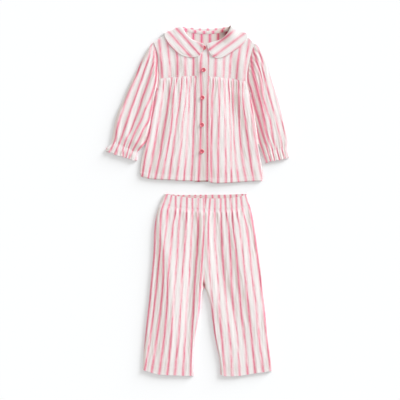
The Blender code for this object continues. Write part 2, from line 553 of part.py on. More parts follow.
def main():
    for item in list(bpy.data.objects):
        bpy.data.objects.remove(item, do_unlink=True)
    group = bpy.data.collections.new("pyjama_set")
    bpy.context.scene.collection.children.link(group)
    cotton = material("striped_cotton", (0.83, 0.66, 0.67), 0.85)
    plastic = material("coral_plastic", (0.72, 0.10, 0.15), 0.35)
    for pieces, (x, y) in ((top_pieces(cotton, plastic), TOP_PLACE),
                           (trouser_pieces(cotton), TROUSER_PLACE)):
        for piece in pieces:
            piece.location.x += x * MM
            piece.location.y += y * MM
            group.objects.link(piece)


main()
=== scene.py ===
import bpy
import numpy as np
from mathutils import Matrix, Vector


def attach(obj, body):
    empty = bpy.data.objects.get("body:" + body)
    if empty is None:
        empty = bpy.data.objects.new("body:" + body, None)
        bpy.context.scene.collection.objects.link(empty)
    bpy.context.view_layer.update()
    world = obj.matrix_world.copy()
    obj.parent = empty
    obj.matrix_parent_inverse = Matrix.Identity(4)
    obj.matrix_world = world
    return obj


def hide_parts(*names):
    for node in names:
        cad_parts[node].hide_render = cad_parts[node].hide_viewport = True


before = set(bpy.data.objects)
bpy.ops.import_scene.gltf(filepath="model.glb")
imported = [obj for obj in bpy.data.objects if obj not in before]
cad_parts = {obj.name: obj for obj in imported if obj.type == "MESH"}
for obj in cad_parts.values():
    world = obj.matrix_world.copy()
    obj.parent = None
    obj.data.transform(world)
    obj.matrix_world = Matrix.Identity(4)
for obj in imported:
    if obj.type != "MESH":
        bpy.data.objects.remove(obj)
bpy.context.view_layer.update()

general = {
    "mm": 0.001,
    "topPlace": (17.5, 48.1),          # the top's frame in the set's frame
    "trouserPlace": (16.5, -436.9),
    "clothThick": 0.85,
    "repeat": 20.0,                    # from stripe to stripe
    "foldScale": 0.45,
    "lightFrom": 42.0,                 # degrees from +X towards +Y
    "sharpFrom": 38.0,                 # cut edges turn more sharply than this
}
sides = {"Left": -1, "Right": 1}       # with the way along x from the middle to each


# Shaping helpers.
def ofSide(shape, side):               # a piece's values, with those of one side named without it
    return {**shape, **{key[:-len(side)]: shape[key] for key in shape if key.endswith(side)}}


def eased(value):
    value = np.clip(value, 0.0, 1.0)
    return value * value * (3.0 - 2.0 * value)


def between(value, start, end):        # 0 at start and before it, 1 at end and after it
    return eased((value - start) / (end - start))


def rib(distance, width):              # 1 on a line, and less on both sides of it
    return np.exp(-(distance / width) ** 2)


def spots(x, y, table):                # soft patches: (x, y, reach across, reach along, how much)
    total = np.zeros_like(x)
    for place, height, wide, tall, much in table:
        total += much * rib(x - place, wide) * rib(y - height, tall)
    return total


def smoothly(at, places, values):
    # A smooth line through given values. It runs on straight past its two ends.
    order = np.argsort(places)
    places = np.array(places, float)[order]
    values = np.array(values, float)[order]
    slopes = np.gradient(values, places)
    inside = np.clip(at, places[0], places[-1])
    part = np.clip(np.searchsorted(places, inside, side="right") - 1, 0, len(places) - 2)
    span = places[part + 1] - places[part]
    t = (inside - places[part]) / span
    start = values[part] * (1 + 2 * t) * (1 - t) ** 2 + slopes[part] * span * t * (1 - t) ** 2
    end = values[part + 1] * t * t * (3 - 2 * t) + slopes[part + 1] * span * t * t * (t - 1)
    past = np.where(at > inside, slopes[-1], slopes[0]) * (at - inside)
    return start + end + past


def lengthTo(points):                  # the length of a line up to each of its points
    return np.append(0.0, np.cumsum(np.linalg.norm(np.diff(points, axis=0), axis=1)))


def along(points, share):
    # Points on a smooth line through given points, at shares of its length.
    knots = np.array(points, float)
    steps = lengthTo(knots)
    return np.stack([smoothly(share, steps / steps[-1], column) for column in knots.T], axis=-1)


def moved(points, dx, dy):
    return [(x + dx, y + dy) for x, y in points]


def lineY(line, x):                    # the height at x of a line that runs across
    return np.interp(x, *np.array(sorted(line), float).T)


def sideX(side, y):                    # the place at y of a line that runs down
    return np.interp(y, *np.array(side[::-1], float).T[::-1])


def evenGrid(columns, rows):
    return np.meshgrid(np.linspace(0, 1, columns), np.linspace(0, 1, rows))


def panelPlan(low, high, start, end, u, v):
    # A panel's plan between four edges: low and high run from start to end.
    a = u[..., None]
    b = v[..., None]
    lengthways = (1 - b) * along(low, u) + b * along(high, u)
    across = (1 - a) * along(start, v) + a * along(end, v)
    low, high = np.array(low, float), np.array(high, float)
    corners = (1 - b) * ((1 - a) * low[0] + a * low[-1]) + b * ((1 - a) * high[0] + a * high[-1])
    return lengthways + across - corners


def pick(grids, index):                # at each point, the value of the grid that index names
    return np.take_along_axis(grids, index[None], 0)[0]


def creaseHeight(lines, x, y):
    # Each line runs down the panel as (y, x, height). Across the panel the cloth swings softly
    # from one line to the next, so a high one is a ridge and a low one a trough.
    leastApart = 0.5
    places, heights = [], []
    for line in lines:
        down, across, high = np.array(line, float).T
        inside = np.clip(y, down.min(), down.max())
        places.append(smoothly(inside, down, across))
        heights.append(smoothly(inside, down, high))
    places, heights = np.maximum.accumulate(np.array(places), axis=0), np.array(heights)
    places += leastApart * np.arange(len(lines)).reshape(-1, *[1] * x.ndim)
    right = np.clip((places <= x).sum(axis=0), 1, len(lines) - 1)
    start, end = pick(places, right - 1), pick(places, right)
    share = eased((x - start) / (end - start))
    height = pick(heights, right - 1) * (1 - share) + pick(heights, right) * share
    return height * general["foldScale"]


def gatherHeight(table, x, distance):
    # Short uneven puckers that spring from a seam: (place across, length, height, width).
    fullFrom = 9.0
    total = np.zeros_like(x)
    for place, length, height, width in table:
        reach = eased(distance / fullFrom) * (1 - eased(distance / length)) * (distance > 0)
        total += height * reach * rib(x - place, width)
    return total


crinkles = {
    "widths": (5.0, 5.7, 6.6, 7.6, 9.0, 11.0, 13.5, 17.0, 23.0), "each": 2,
    "longer": (8, 18),                 # times their width
    "patches": (40, 120),              # lengths over which they come and go
    "widthPerHeight": 12,
}


def crinkle(stripe, y, seed, size):
    # Fine unevenness of washed cotton, in long streaks that run with the stripes.
    draw = np.random.default_rng(seed)
    x = stripe * general["repeat"]
    full = 2 * np.pi
    total = np.zeros_like(x)
    for across in crinkles["widths"]:
        for _ in range(crinkles["each"]):
            lengthways = across * draw.uniform(*crinkles["longer"]) * draw.choice((-1, 1))
            turn = draw.uniform(0, full)
            patch = 0.5 + 0.5 * np.sin(full * y / draw.uniform(*crinkles["patches"])
                                       + draw.uniform(0, 6.3))
            streak = np.sin(full * (x / across + y / lengthways) + turn)
            total += across / crinkles["widthPerHeight"] * streak * patch
    return size * total


def stripePlaces(table, x, y):
    # How many repeats across each point lies, and the width of the repeat there. Each row of the
    # table is a height and the places of the stripes at it.
    step, leastGap = 3.0, 3.0
    heights, *stripes = np.array(table, float).T
    lines = np.array([smoothly(y, heights, stripe) for stripe in stripes])
    ahead = np.array([smoothly(y + step, heights, stripe) for stripe in stripes])
    index = np.clip((lines <= x).sum(axis=0) - 1, 0, len(lines) - 2)
    left = pick(lines, index)
    gap = np.maximum(pick(lines, index + 1) - left, leastGap)
    slant = pick(ahead - lines, index) / step
    return index + (x - left) / gap, gap / np.sqrt(1 + slant ** 2)


def evenStripes(x, first, repeat):
    return (x - first) / repeat, np.full_like(x, repeat)


# Painted light and shade: stripes paler where the cloth leans to the light, fuller with a warmer ground
# where it leans away, and in painted shade spots.
paintedShading = {
    "onFlat": 0.94, "perLean": 7.0, "leanLimit": 0.5,
    "least": 0.42, "most": 1.6,        # painted light and shade on a fold's sides
    "paintedLightLimit": 0.2, "fullest": 4.0,   # with the painted shade spots
}


def paintedLightAndShade(points, deep=(), **changed):
    # Painted light and shade: the stripes are painted paler on sides that lean towards the light and
    # fuller on those that lean away. Each deep shade spot is (x, y, reach across, reach along, how much
    # more shade).
    own = {**paintedShading, **changed}
    facing = np.cross(np.gradient(points, axis=1), np.gradient(points, axis=0))
    facing *= np.sign(facing[..., 2:3] + 1e-12)
    turn = np.radians(general["lightFrom"])
    lean = facing[..., 0] * np.cos(turn) + facing[..., 1] * np.sin(turn)
    lean = np.clip(lean / np.maximum(facing[..., 2], 1e-6), -own["leanLimit"], own["leanLimit"])
    full = np.clip(own["onFlat"] - own["perLean"] * lean, own["least"], own["most"])
    full = full + spots(points[..., 0], points[..., 1], deep)
    return np.clip(full, own["paintedLightLimit"], own["fullest"])


def roundedEdge(height, low, distance, radius):
    # Brings a panel's skin down to its lower neighbour in a quarter turn at its edge.
    turn = np.sqrt(np.clip(1 - (1 - np.clip(distance / radius, 0, 1)) ** 2, 0, 1))
    return low + (height - low) * turn


# Pieces of cloth and thread.
def addObject(name, data):
    made = bpy.data.objects.new(name, data)
    bpy.context.scene.collection.objects.link(made)
    return made


def newPiece(name, place, points, faces, material):
    # A smooth mesh of points in a garment's frame.
    mesh = bpy.data.meshes.new(name)
    placed = (np.reshape(points, (-1, 3)) + np.array((*place, 0.0))) * general["mm"]
    mesh.from_pydata(placed.tolist(), [], faces)
    mesh.materials.append(material)
    mesh.shade_smooth()
    return addObject(name, mesh)


def sewCloth(name, place, points, stripe, gap, strength, material, thick=general["clothThick"],
             up=(0, 0)):
    # One cut piece: a fine grid of its outer skin, with its stripes and its painted light and shade in
    # two
    # UV maps. At the row and column that up gives, its outer side faces up.
    rows, columns = stripe.shape
    index = np.arange(rows * columns).reshape(rows, columns)
    corners = [index[:-1, :-1], index[:-1, 1:], index[1:, 1:], index[1:, :-1]]
    faces = np.stack([corner.ravel() for corner in corners], axis=1)
    row, column = up
    edgeA = points[row, column + 1] - points[row, column]
    edgeB = points[row + 1, column] - points[row, column]
    if np.cross(edgeA, edgeB)[2] < 0:
        faces = faces[:, ::-1]
    piece = newPiece(name, place, points, faces.tolist(), material)
    corner = faces.ravel()
    for title, across, down in (("cloth", stripe, points[..., 1] / general["repeat"]),
                                ("spread", gap / general["repeat"], strength)):
        pair = np.stack([across.ravel()[corner], down.ravel()[corner]], axis=1)
        layer = piece.data.uv_layers.new(name=title)
        layer.data.foreach_set("uv", pair.ravel().astype(np.float32))
    solid = piece.modifiers.new("layer", "SOLIDIFY")
    solid.thickness = thick * general["mm"]
    solid.offset = -1
    worn = bpy.data.meshes.new_from_object(piece.evaluated_get(bpy.context.evaluated_depsgraph_get()))
    piece.modifiers.clear()
    piece.data = worn
    places = np.empty(len(worn.vertices) * 3)
    worn.vertices.foreach_get("co", places)
    places[2::3] = np.maximum(places[2::3], 0)     # nothing goes below the floor
    worn.vertices.foreach_set("co", places)
    worn.shade_smooth()
    worn.set_sharp_from_angle(angle=np.radians(general["sharpFrom"]))
    worn.update()
    return piece


def declare(piece, node):
    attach(piece, "root")
    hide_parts(node)


def surfaceLine(points, u, v):
    # Points on a grid of cloth at shares across and along it, with the way its skin faces.
    rows, columns = points.shape[:2]
    u, v = np.broadcast_arrays(np.clip(u, 0.0, 1.0), np.clip(v, 0.0, 1.0))
    column, row = u * (columns - 1), v * (rows - 1)
    c = np.clip(column.astype(int), 0, columns - 2)
    r = np.clip(row.astype(int), 0, rows - 2)
    a = (column - c)[:, None]
    b = (row - r)[:, None]
    p00, p01, p10, p11 = points[r, c], points[r, c + 1], points[r + 1, c], points[r + 1, c + 1]
    place = p00 * (1 - a) * (1 - b) + p01 * a * (1 - b) + p10 * (1 - a) * b + p11 * a * b
    facing = np.cross(p01 + p11 - p00 - p10, p10 + p11 - p00 - p01)
    facing /= np.maximum(np.linalg.norm(facing, axis=1, keepdims=True), 1e-9)
    facing *= np.sign(facing[:, 2:3] + 1e-9)
    return place, facing


stitching = {
    "length": 2.3, "space": 0.7, "radius": 0.16, "sides": 5, "flatter": 0.7,
    # (share of its length, share of its radius, height over the cloth)
    "rings": [(0, 0.5, -0.08), (0.2, 1, 0.08), (0.8, 1, 0.08), (1, 0.5, -0.08)],
}


def rowShare(rows, v):
    return np.interp(v, rows, np.arange(len(rows))) / (len(rows) - 1)


def stitchRun(places, facings):
    # Small sewn stitches along a line on the cloth, as points and faces.
    s = stitching
    steps = lengthTo(places)
    pitch = s["length"] + s["space"]
    parts, thicks, heights = np.array(s["rings"]).T
    n, last = s["sides"], len(parts) - 1
    turns = np.linspace(0, 2 * np.pi, n, endpoint=False)
    points, faces = [], []
    for k in range(int(steps[-1] // pitch)):
        shares = k * pitch + s["space"] / 2 + s["length"] * parts
        line, facing = (np.stack([np.interp(shares, steps, column) for column in values.T], axis=1)
                        for values in (places, facings))
        side = np.cross(line[-1] - line[0], facing[0])
        side /= np.linalg.norm(side)
        first = len(points)
        for j, (thick, height) in enumerate(zip(thicks, heights)):
            for turn in turns:
                off = np.cos(turn) * side + s["flatter"] * np.sin(turn) * facing[j]
                points.append(line[j] + facing[j] * height + off * s["radius"] * thick)
        for ring in range(first, first + last * n, n):
            faces += [(ring + m, ring + (m + 1) % n, ring + (m + 1) % n + n, ring + m + n)
                      for m in range(n)]
        faces.append(tuple(range(first + n - 1, first - 1, -1)))
        faces.append(tuple(range(first + last * n, first + last * n + n)))
    return points, faces


def sewStitches(name, place, runs, material):
    points, faces = [], []
    for places, facings in runs:
        more, moreFaces = stitchRun(places, facings)
        faces += [tuple(i + len(points) for i in face) for face in moreFaces]
        points += more
    piece = newPiece(name, place, points, faces, material)
    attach(piece, "root")


# Materials.
def join(tree, node, inputs):          # sets inputs, or joins them to what other nodes put out
    for title, value in inputs.items():
        if isinstance(value, bpy.types.NodeSocket):
            tree.links.new(value, node.inputs[title])
        else:
            node.inputs[title].default_value = value
    return node.outputs


def math(tree, operation, *values, clamp=False):
    node = tree.nodes.new("ShaderNodeMath")
    node.operation = operation
    node.use_clamp = clamp
    return join(tree, node, dict(enumerate(values)))[0]


def mixColours(tree, first, second, share, blend="MIX"):
    mix = tree.nodes.new("ShaderNodeMix")
    mix.data_type = "RGBA"
    mix.blend_type = blend
    first, second = ((*c, 1) if isinstance(c, tuple) else c for c in (first, second))
    return join(tree, mix, {6: first, 7: second, 0: share})[2]


def unevenness(tree, across, along, detail):       # noise over the cloth, from -0.5 to 0.5
    place = join(tree, tree.nodes.new("ShaderNodeCombineXYZ"), {0: across, 1: along})
    noise = join(tree, tree.nodes.new("ShaderNodeTexNoise"),
                 {"Vector": place[0], "Scale": 1.0, "Detail": detail})
    return math(tree, "SUBTRACT", noise[0], 0.5)


def softStep(tree, value, start, end):
    edge = tree.nodes.new("ShaderNodeMapRange")
    edge.interpolation_type = "SMOOTHSTEP"
    return join(tree, edge, {"Value": value, "From Min": start, "From Max": end})["Result"]


def newGroup(name, inputs, outputs):
    group = bpy.data.node_groups.new(name, "ShaderNodeTree")
    for title, value in inputs.items():
        socket = group.interface.new_socket(name=title, in_out="INPUT", socket_type="NodeSocketFloat")
        socket.default_value = value
    for title in outputs:
        group.interface.new_socket(name=title, in_out="OUTPUT", socket_type="NodeSocketFloat")
    return group, group.nodes.new("NodeGroupInput").outputs, group.nodes.new("NodeGroupOutput")


stripeWeaving = {
    "gathered": 0.6,                   # how much of a gather the stripe takes up
    "wander": 0.11, "wanderAcross": 5.0, "wanderAlong": 2.4,
    "dye": 0.9, "dyeAcross": 3.1, "dyeAlong": 1.3, "featherFull": 0.12, "detail": 2.0,
}


def makeStripeGroup():
    # A plain woven stripe at each whole repeat, a little narrower where the cloth is gathered.
    own = stripeWeaving
    group, given, result = newGroup(
        "wovenStripe", {"Across": 0.0, "Along": 0.0, "Repeat": 1.0, "Width": 0.13, "Softness": 0.03,
                        "Feather": 0.25, "Reach": 0.33}, ("Mask", "Dye"))
    run = lambda *args: math(group, *args)

    def swing(name):
        across, along = (run("MULTIPLY", given[way], own[name + way]) for way in ("Across", "Along"))
        return run("MULTIPLY", unevenness(group, across, along, own["detail"]), own[name])

    near = run("ABSOLUTE", run("SUBTRACT", given["Across"], run("ROUND", given["Across"])))
    away = run("MULTIPLY", near, run("POWER", given["Repeat"], own["gathered"]))
    away = run("ADD", away, swing("wander"))
    stripe = softStep(group, away, run("ADD", given["Width"], given["Softness"]),
                      run("SUBTRACT", given["Width"], given["Softness"]))
    # a few pink yarns among the white beside it
    feather = run("MULTIPLY", softStep(group, near, given["Reach"], own["featherFull"]),
                  given["Feather"])
    join(group, result, {"Mask": run("MAXIMUM", stripe, feather),
                         "Dye": run("ADD", swing("dye"), 1.0)})
    return group


weaving = {"yarns": 44.0, "yarnHeight": 0.5, "slubHeight": 1.6, "slubAcross": 7.0, "slubAlong": 0.5,
           "detail": 3.0}


def makeWeaveGroup():
    # Plain weave: yarns over and under, with a thicker yarn here and there.
    own = weaving
    group, given, result = newGroup(
        "plainWeave", {"Across": 0.0, "Along": 0.0, "Yarns": own["yarns"]}, ("Height", "Slub"))
    run = lambda *args: math(group, *args)
    waves = [run("SINE", run("MULTIPLY", run("MULTIPLY", given[way], given["Yarns"]), 3.14159))
             for way in ("Across", "Along")]
    slub = unevenness(group, run("MULTIPLY", given["Across"], own["slubAcross"]),
                      run("MULTIPLY", given["Along"], own["slubAlong"]), own["detail"])
    over = run("MULTIPLY", run("MULTIPLY", *waves), own["yarnHeight"])
    join(group, result, {"Height": run("ADD", over, run("MULTIPLY", slub, own["slubHeight"])),
                         "Slub": slub})
    return group


cottonLook = {
    "ground": (0.84, 0.817, 0.807),
    "shadedGround": (0.70, 0.60, 0.545),     # painted shade: warmer and darker where the cloth folds away from the light
    "deepShadeGround": (0.36, 0.25, 0.235),     # painted deep shade, where it lies in a deep hollow
    "pink": (0.875, 0.255, 0.365),
    # the stripes' painted shade and deep painted shade
    "shadedPink": (0.66, 0.095, 0.18),
    "deepShadePink": (0.30, 0.015, 0.05),
    "stripeWidth": 0.133,      # half a stripe, as a share of the repeat
    "stripeEdge": 0.15,
    "feather": 0.42,
    "featherReach": 0.36,
    "slub": 0.20,
    "bump": 0.30, "bumpDepth": 0.0004,
    "roughness": 0.88, "specular": 0.25, "sheen": 0.12, "sheenRoughness": 0.5,
}

litCollarLook = {**cottonLook, "ground": (0.875, 0.855, 0.848)}     # a whiter ground: painted light, for the collar standing more in the light than the body

# The inside pieces: pinker stripes, and a darker, warmer ground that is painted shade for cloth lying in
# shadow inside the top.
insideLook = {**cottonLook, "ground": (0.80, 0.755, 0.745), "pink": (0.85, 0.15, 0.31),
              "shadedPink": (0.70, 0.07, 0.17)}


def newMaterial(name, values):
    made = bpy.data.materials.new(name)
    made.use_nodes = True
    shader = made.node_tree.nodes["Principled BSDF"]
    join(made.node_tree, shader, values)
    return made, made.node_tree, shader


def cottonMaterial(name, look, stripeGroup, weaveGroup):
    made, tree, shader = newMaterial(name, {
        "Roughness": look["roughness"], "Specular IOR Level": look["specular"],
        "Sheen Weight": look["sheen"], "Sheen Roughness": look["sheenRoughness"]})
    run = lambda *args, **more: math(tree, *args, **more)

    def uvMap(title):
        uv = tree.nodes.new("ShaderNodeUVMap")
        uv.uv_map = title
        return join(tree, tree.nodes.new("ShaderNodeSeparateXYZ"), {0: uv.outputs[0]})

    def effect(group, values):
        node = tree.nodes.new("ShaderNodeGroup")
        node.node_tree = group
        return join(tree, node, {"Across": cloth[0], "Along": cloth[1], **values})

    cloth, spread = uvMap("cloth"), uvMap("spread")
    stripe = effect(stripeGroup, {
        "Repeat": spread[0], "Width": look["stripeWidth"], "Softness": look["stripeEdge"],
        "Feather": look["feather"], "Reach": look["featherReach"]})
    weave = effect(weaveGroup, {})
    # spread's second value is the painted light and shade: over 1 the painted shade colours mix in, over
    # 2 the deep painted shade ones
    paintedShadeShare = run("SUBTRACT", spread[1], 1.0, clamp=True)
    sunk = run("SUBTRACT", spread[1], 2.0, clamp=True)
    ground, pink = (mixColours(tree, mixColours(tree, look[flat], look[fold], paintedShadeShare), look[deep], sunk)
                    for flat, fold, deep in (("ground", "shadedGround", "deepShadeGround"),
                                             ("pink", "shadedPink", "deepShadePink")))
    # the stripe's share: painted light and shade times the dye's random unevenness
    dye = run("MULTIPLY", spread[1], stripe["Dye"], clamp=True)
    dyed = mixColours(tree, ground, pink, run("MULTIPLY", stripe["Mask"], dye))
    tone = run("ADD", run("MULTIPLY", weave["Slub"], look["slub"]), 1.0)
    grey = join(tree, tree.nodes.new("ShaderNodeCombineColor"), {0: tone, 1: tone, 2: tone})
    bump = join(tree, tree.nodes.new("ShaderNodeBump"), {
        "Strength": look["bump"], "Distance": look["bumpDepth"], "Height": weave["Height"]})
    join(tree, shader, {"Base Color": mixColours(tree, dyed, grey[0], 1.0, "MULTIPLY"),
                        "Normal": bump[0]})
    return made


plainLook = {
    "colour": (0.82, 0.76, 0.75), "roughness": 0.7, "coat": 0.0, "coatRoughness": 0.15,
    "tints": (0.93, 1.07), "tintScale": 900.0,     # the colour is a little uneven
}


def plainMaterial(name, **changed):
    look = {**plainLook, **changed}
    made, tree, shader = newMaterial(name, {
        "Roughness": look["roughness"], "Coat Weight": look["coat"],
        "Coat Roughness": look["coatRoughness"]})
    place = tree.nodes.new("ShaderNodeTexCoord")
    noise = join(tree, tree.nodes.new("ShaderNodeTexNoise"),
                 {"Vector": place.outputs["Object"], "Scale": look["tintScale"]})
    darker, lighter = (tuple(min(c * tint, 1) for c in look["colour"]) for tint in look["tints"])
    join(tree, shader, {"Base Color": mixColours(tree, darker, lighter, noise[0])})
    return made


# The top's body.
bodyShape = {
    "wall": 1.0,                       # of the back panel
    "frontHeight": 4.1, "frontNeckRise": 0.8, "placketSewn": 0.12,
    "placketDip": 0.6, "placketDipRamp": (316, 328),     # it sinks between the collars' corners
    "marginDip": 0.1, "marginRamps": ((4, 9), (190, 120), (0, 20)),    # across, down and by the hem
    "collarCalm": 0.8, "collarRamp": (300, 340),         # flatter under the collar
    "backLiftNeck": 1.5, "backLiftSide": 3.2, "frontLiftSide": 0.9, "backMiddle": 4,
    "neckRamp": (256, 300), "backNeckRamp": (286, 304), "backNeckSideRamp": (124, 102),
    "underarmRamp": (236, 210), "sleeveLeavesRamp": (45, 93), "sleeveUnderLeft": (24, 4),
    "sleeveUnderRight": (58, 20), "edgeRound": 1.2, "shoulderRound": 5.0,
    "shoulderLeft": [(-62, 383.5), (-80, 374.5), (-100, 365.5), (-115, 357), (-127.5, 348)],
    "shoulderRight": [(70, 384.5), (88, 375.5), (108, 364), (118, 354.5), (125.5, 346)],
    "neckLeft": [(-19.3, 343), (-32, 350.5), (-45.5, 362), (-54, 373.5), (-62, 383.5)],
    "neckRight": [(10.8, 342), (23, 346), (37, 350.5), (51, 358.5), (61.5, 370), (70, 384.5)],
    "backNeck": [(-62, 383.5), (-50, 382.2), (-31, 378), (-11, 375.4), (4, 375), (20, 375.4),
                 (39, 378), (58, 382.5), (70, 384.5)],
    "armholeLeft": [(-127.5, 348), (-120, 329), (-116, 312), (-114, 284), (-113, 266),
                    (-114.2, 256.6)],
    "armholeRight": [(125.5, 346), (119, 329), (114, 311), (109, 289), (106.2, 266), (106, 249.6)],
    "yokeSeamLeft": [(-19.3, 264), (-49, 263), (-74, 261), (-99, 258.5), (-114.2, 256.6)],
    "yokeSeamRight": [(10.8, 263), (27, 262), (51, 259), (69, 257), (81, 254.5), (106, 249.6)],
    "sideLeft": [(-114.4, 256), (-115.2, 250), (-119, 234), (-125, 204), (-132, 166), (-136, 134),
                 (-141, 111), (-148, 89), (-154, 71), (-158, 54), (-161, 34), (-161.5, 21),
                 (-158, 12)],
    "sideRight": [(106, 249), (106.6, 243), (109, 234), (115, 209), (122, 181), (126, 154),
                  (130, 126), (133, 99), (136, 76), (140, 54), (143, 34), (145, 16), (144, 1)],
    "hemLeft": [(-26.4, 1), (-61, 2), (-86, 4), (-111, 5), (-136, 6.5), (-158, 12)],
    "hemRight": [(9.7, -1), (24, -4), (44, -4), (64, -3), (84, -2), (104, 0), (126, 1), (144, 1)],
    "placketLeft": [(-26, 1), (-24.4, 60), (-22, 120), (-19.6, 190), (-19, 260), (-19, 340)],
    "placketRight": [(9.3, 2), (9.8, 60), (10, 120), (10.4, 190), (10.5, 260), (10.5, 340)],
    # Ridges and troughs from the left side to the right one, over the whole front.
    "creases": [
        [(330, -122, 0.9), (300, -114, 0.9), (256, -114, 0.8), (204, -125, 0.8), (150, -134, 0.7),
         (100, -145, 0.5), (50, -158, 0.2), (5, -160, 0.2)],
        [(330, -112, 2.0), (300, -108, 2.8), (262, -106, 2.2), (250, -109, 1.6), (205, -117, 1.2),
         (150, -126, 1.0), (100, -138, 0.7), (50, -149, 0.5), (5, -151, 0.4)],
        [(330, -82, 0), (300, -77, 0), (262, -84, -0.2), (241, -94, -0.4), (204, -99, -0.6),
         (154, -112, -0.7), (104, -123, -0.6), (60, -135, -0.1), (5, -141, 0.2)],
        [(330, -55, 2.0), (300, -53, 2.8), (262, -64, 2.2), (241, -78, 2.6), (204, -76, 3.4),
         (179, -78, 3.8), (129, -85, 4.0), (79, -97, 3.6), (30, -107, 2.3), (5, -110, 1.6)],
        [(330, -54, 2.0), (300, -51, 2.8), (262, -60, 1.9), (241, -70, 1.6), (204, -68, 2.6),
         (150, -71, 3.1), (100, -80, 3.1), (50, -89, 2.2), (5, -93, 1.2)],
        [(330, -53, 2.0), (300, -50, 2.8), (262, -57, 2.2), (241, -60, 2.4), (216, -60, 3.2),
         (129, -63, 3.7), (79, -71, 3.4), (30, -75, 2.3), (5, -76, 1.6)],
        [(330, -33, 0.2), (300, -33, 0.2), (262, -34, 0), (216, -33, -0.3), (129, -33, -0.3),
         (79, -34, -0.2), (30, -41, 0), (5, -43, 0.2)],
        [(330, -15, 2.0), (300, -15, 2.6), (262, -16, 1.7), (216, -17, 1.5), (129, -18, 1.5),
         (79, -20, 1.4), (30, -22, 1.2), (5, -23, 1.0)],
        [(330, 10, 2.4), (300, 10, 3), (262, 10, 3.6), (216, 10, 4.7), (129, 10, 4.7),
         (79, 10, 4.4), (30, 9, 3.6), (5, 9, 3.0)],
        [(330, 17, 2.8), (300, 20, 3.4), (262, 26, 3.7), (250, 28, 4.1), (205, 30, 5.1),
         (150, 31, 5.3), (100, 32, 5.2), (50, 33, 4.6), (5, 34, 3.7)],
        [(330, 60, 0.2), (300, 64, 0), (262, 66, 0), (250, 67, -0.3), (180, 67, -0.4),
         (154, 76, -0.3), (116, 88, -0.1), (79, 92, 0.1), (5, 94, 0.3)],
        [(330, 85, 2.2), (300, 86, 2.9), (262, 86, 2.6), (250, 87, 2.3), (200, 88, 2.2),
         (180, 91, 2.0), (160, 99, 1.7), (140, 106, 1.3), (120, 111, 1.0), (80, 116, 0.8),
         (30, 120, 0.6), (5, 123, 0.4)],
        [(330, 112, 0.2), (300, 108, 0.2), (262, 104, 0.3), (250, 105, 0.4), (209, 113, 0.7),
         (180, 120, 0.7), (126, 129, 0.5), (54, 139, 0.4), (5, 143, 0.3)],
    ],
}


def onSleeves(x, y):                   # 1 where the body lies on the sleeves' inner edges
    b = bodyShape
    under = np.maximum(between(x - sideX(b["sideLeft"], y), *b["sleeveUnderLeft"]),
                       between(sideX(b["sideRight"], y) - x, *b["sleeveUnderRight"]))
    return between(y, *b["underarmRamp"]) * between(y, *b["sleeveLeavesRamp"]) * under


def backTop(x, y):                     # height of the back's upper side over the floor
    b = bodyShape
    collarBelow = (between(y, *b["backNeckRamp"])
                   * between(np.abs(x - b["backMiddle"]), *b["backNeckSideRamp"]))
    return b["wall"] + b["backLiftNeck"] * collarBelow + b["backLiftSide"] * onSleeves(x, y)


def billow(x, y):
    return creaseHeight(bodyShape["creases"], x, y)


def underCollar(y):
    return 1 - bodyShape["collarCalm"] * between(y, *bodyShape["collarRamp"])


def frontSkin(x, y):
    b = bodyShape
    return (b["frontHeight"] + b["frontNeckRise"] * between(y, *b["neckRamp"])
            + b["frontLiftSide"] * onSleeves(x, y))


def placketSkin(x, y):
    b = bodyShape
    across, down, hem = b["marginRamps"]
    dip = b["placketDip"] * between(y, *b["placketDipRamp"])
    dip = dip + b["marginDip"] * between(x, *across) * between(y, *down) * between(y, *hem)
    return frontSkin(x, y) + b["placketSewn"] - dip + billow(x, y) * underCollar(y)


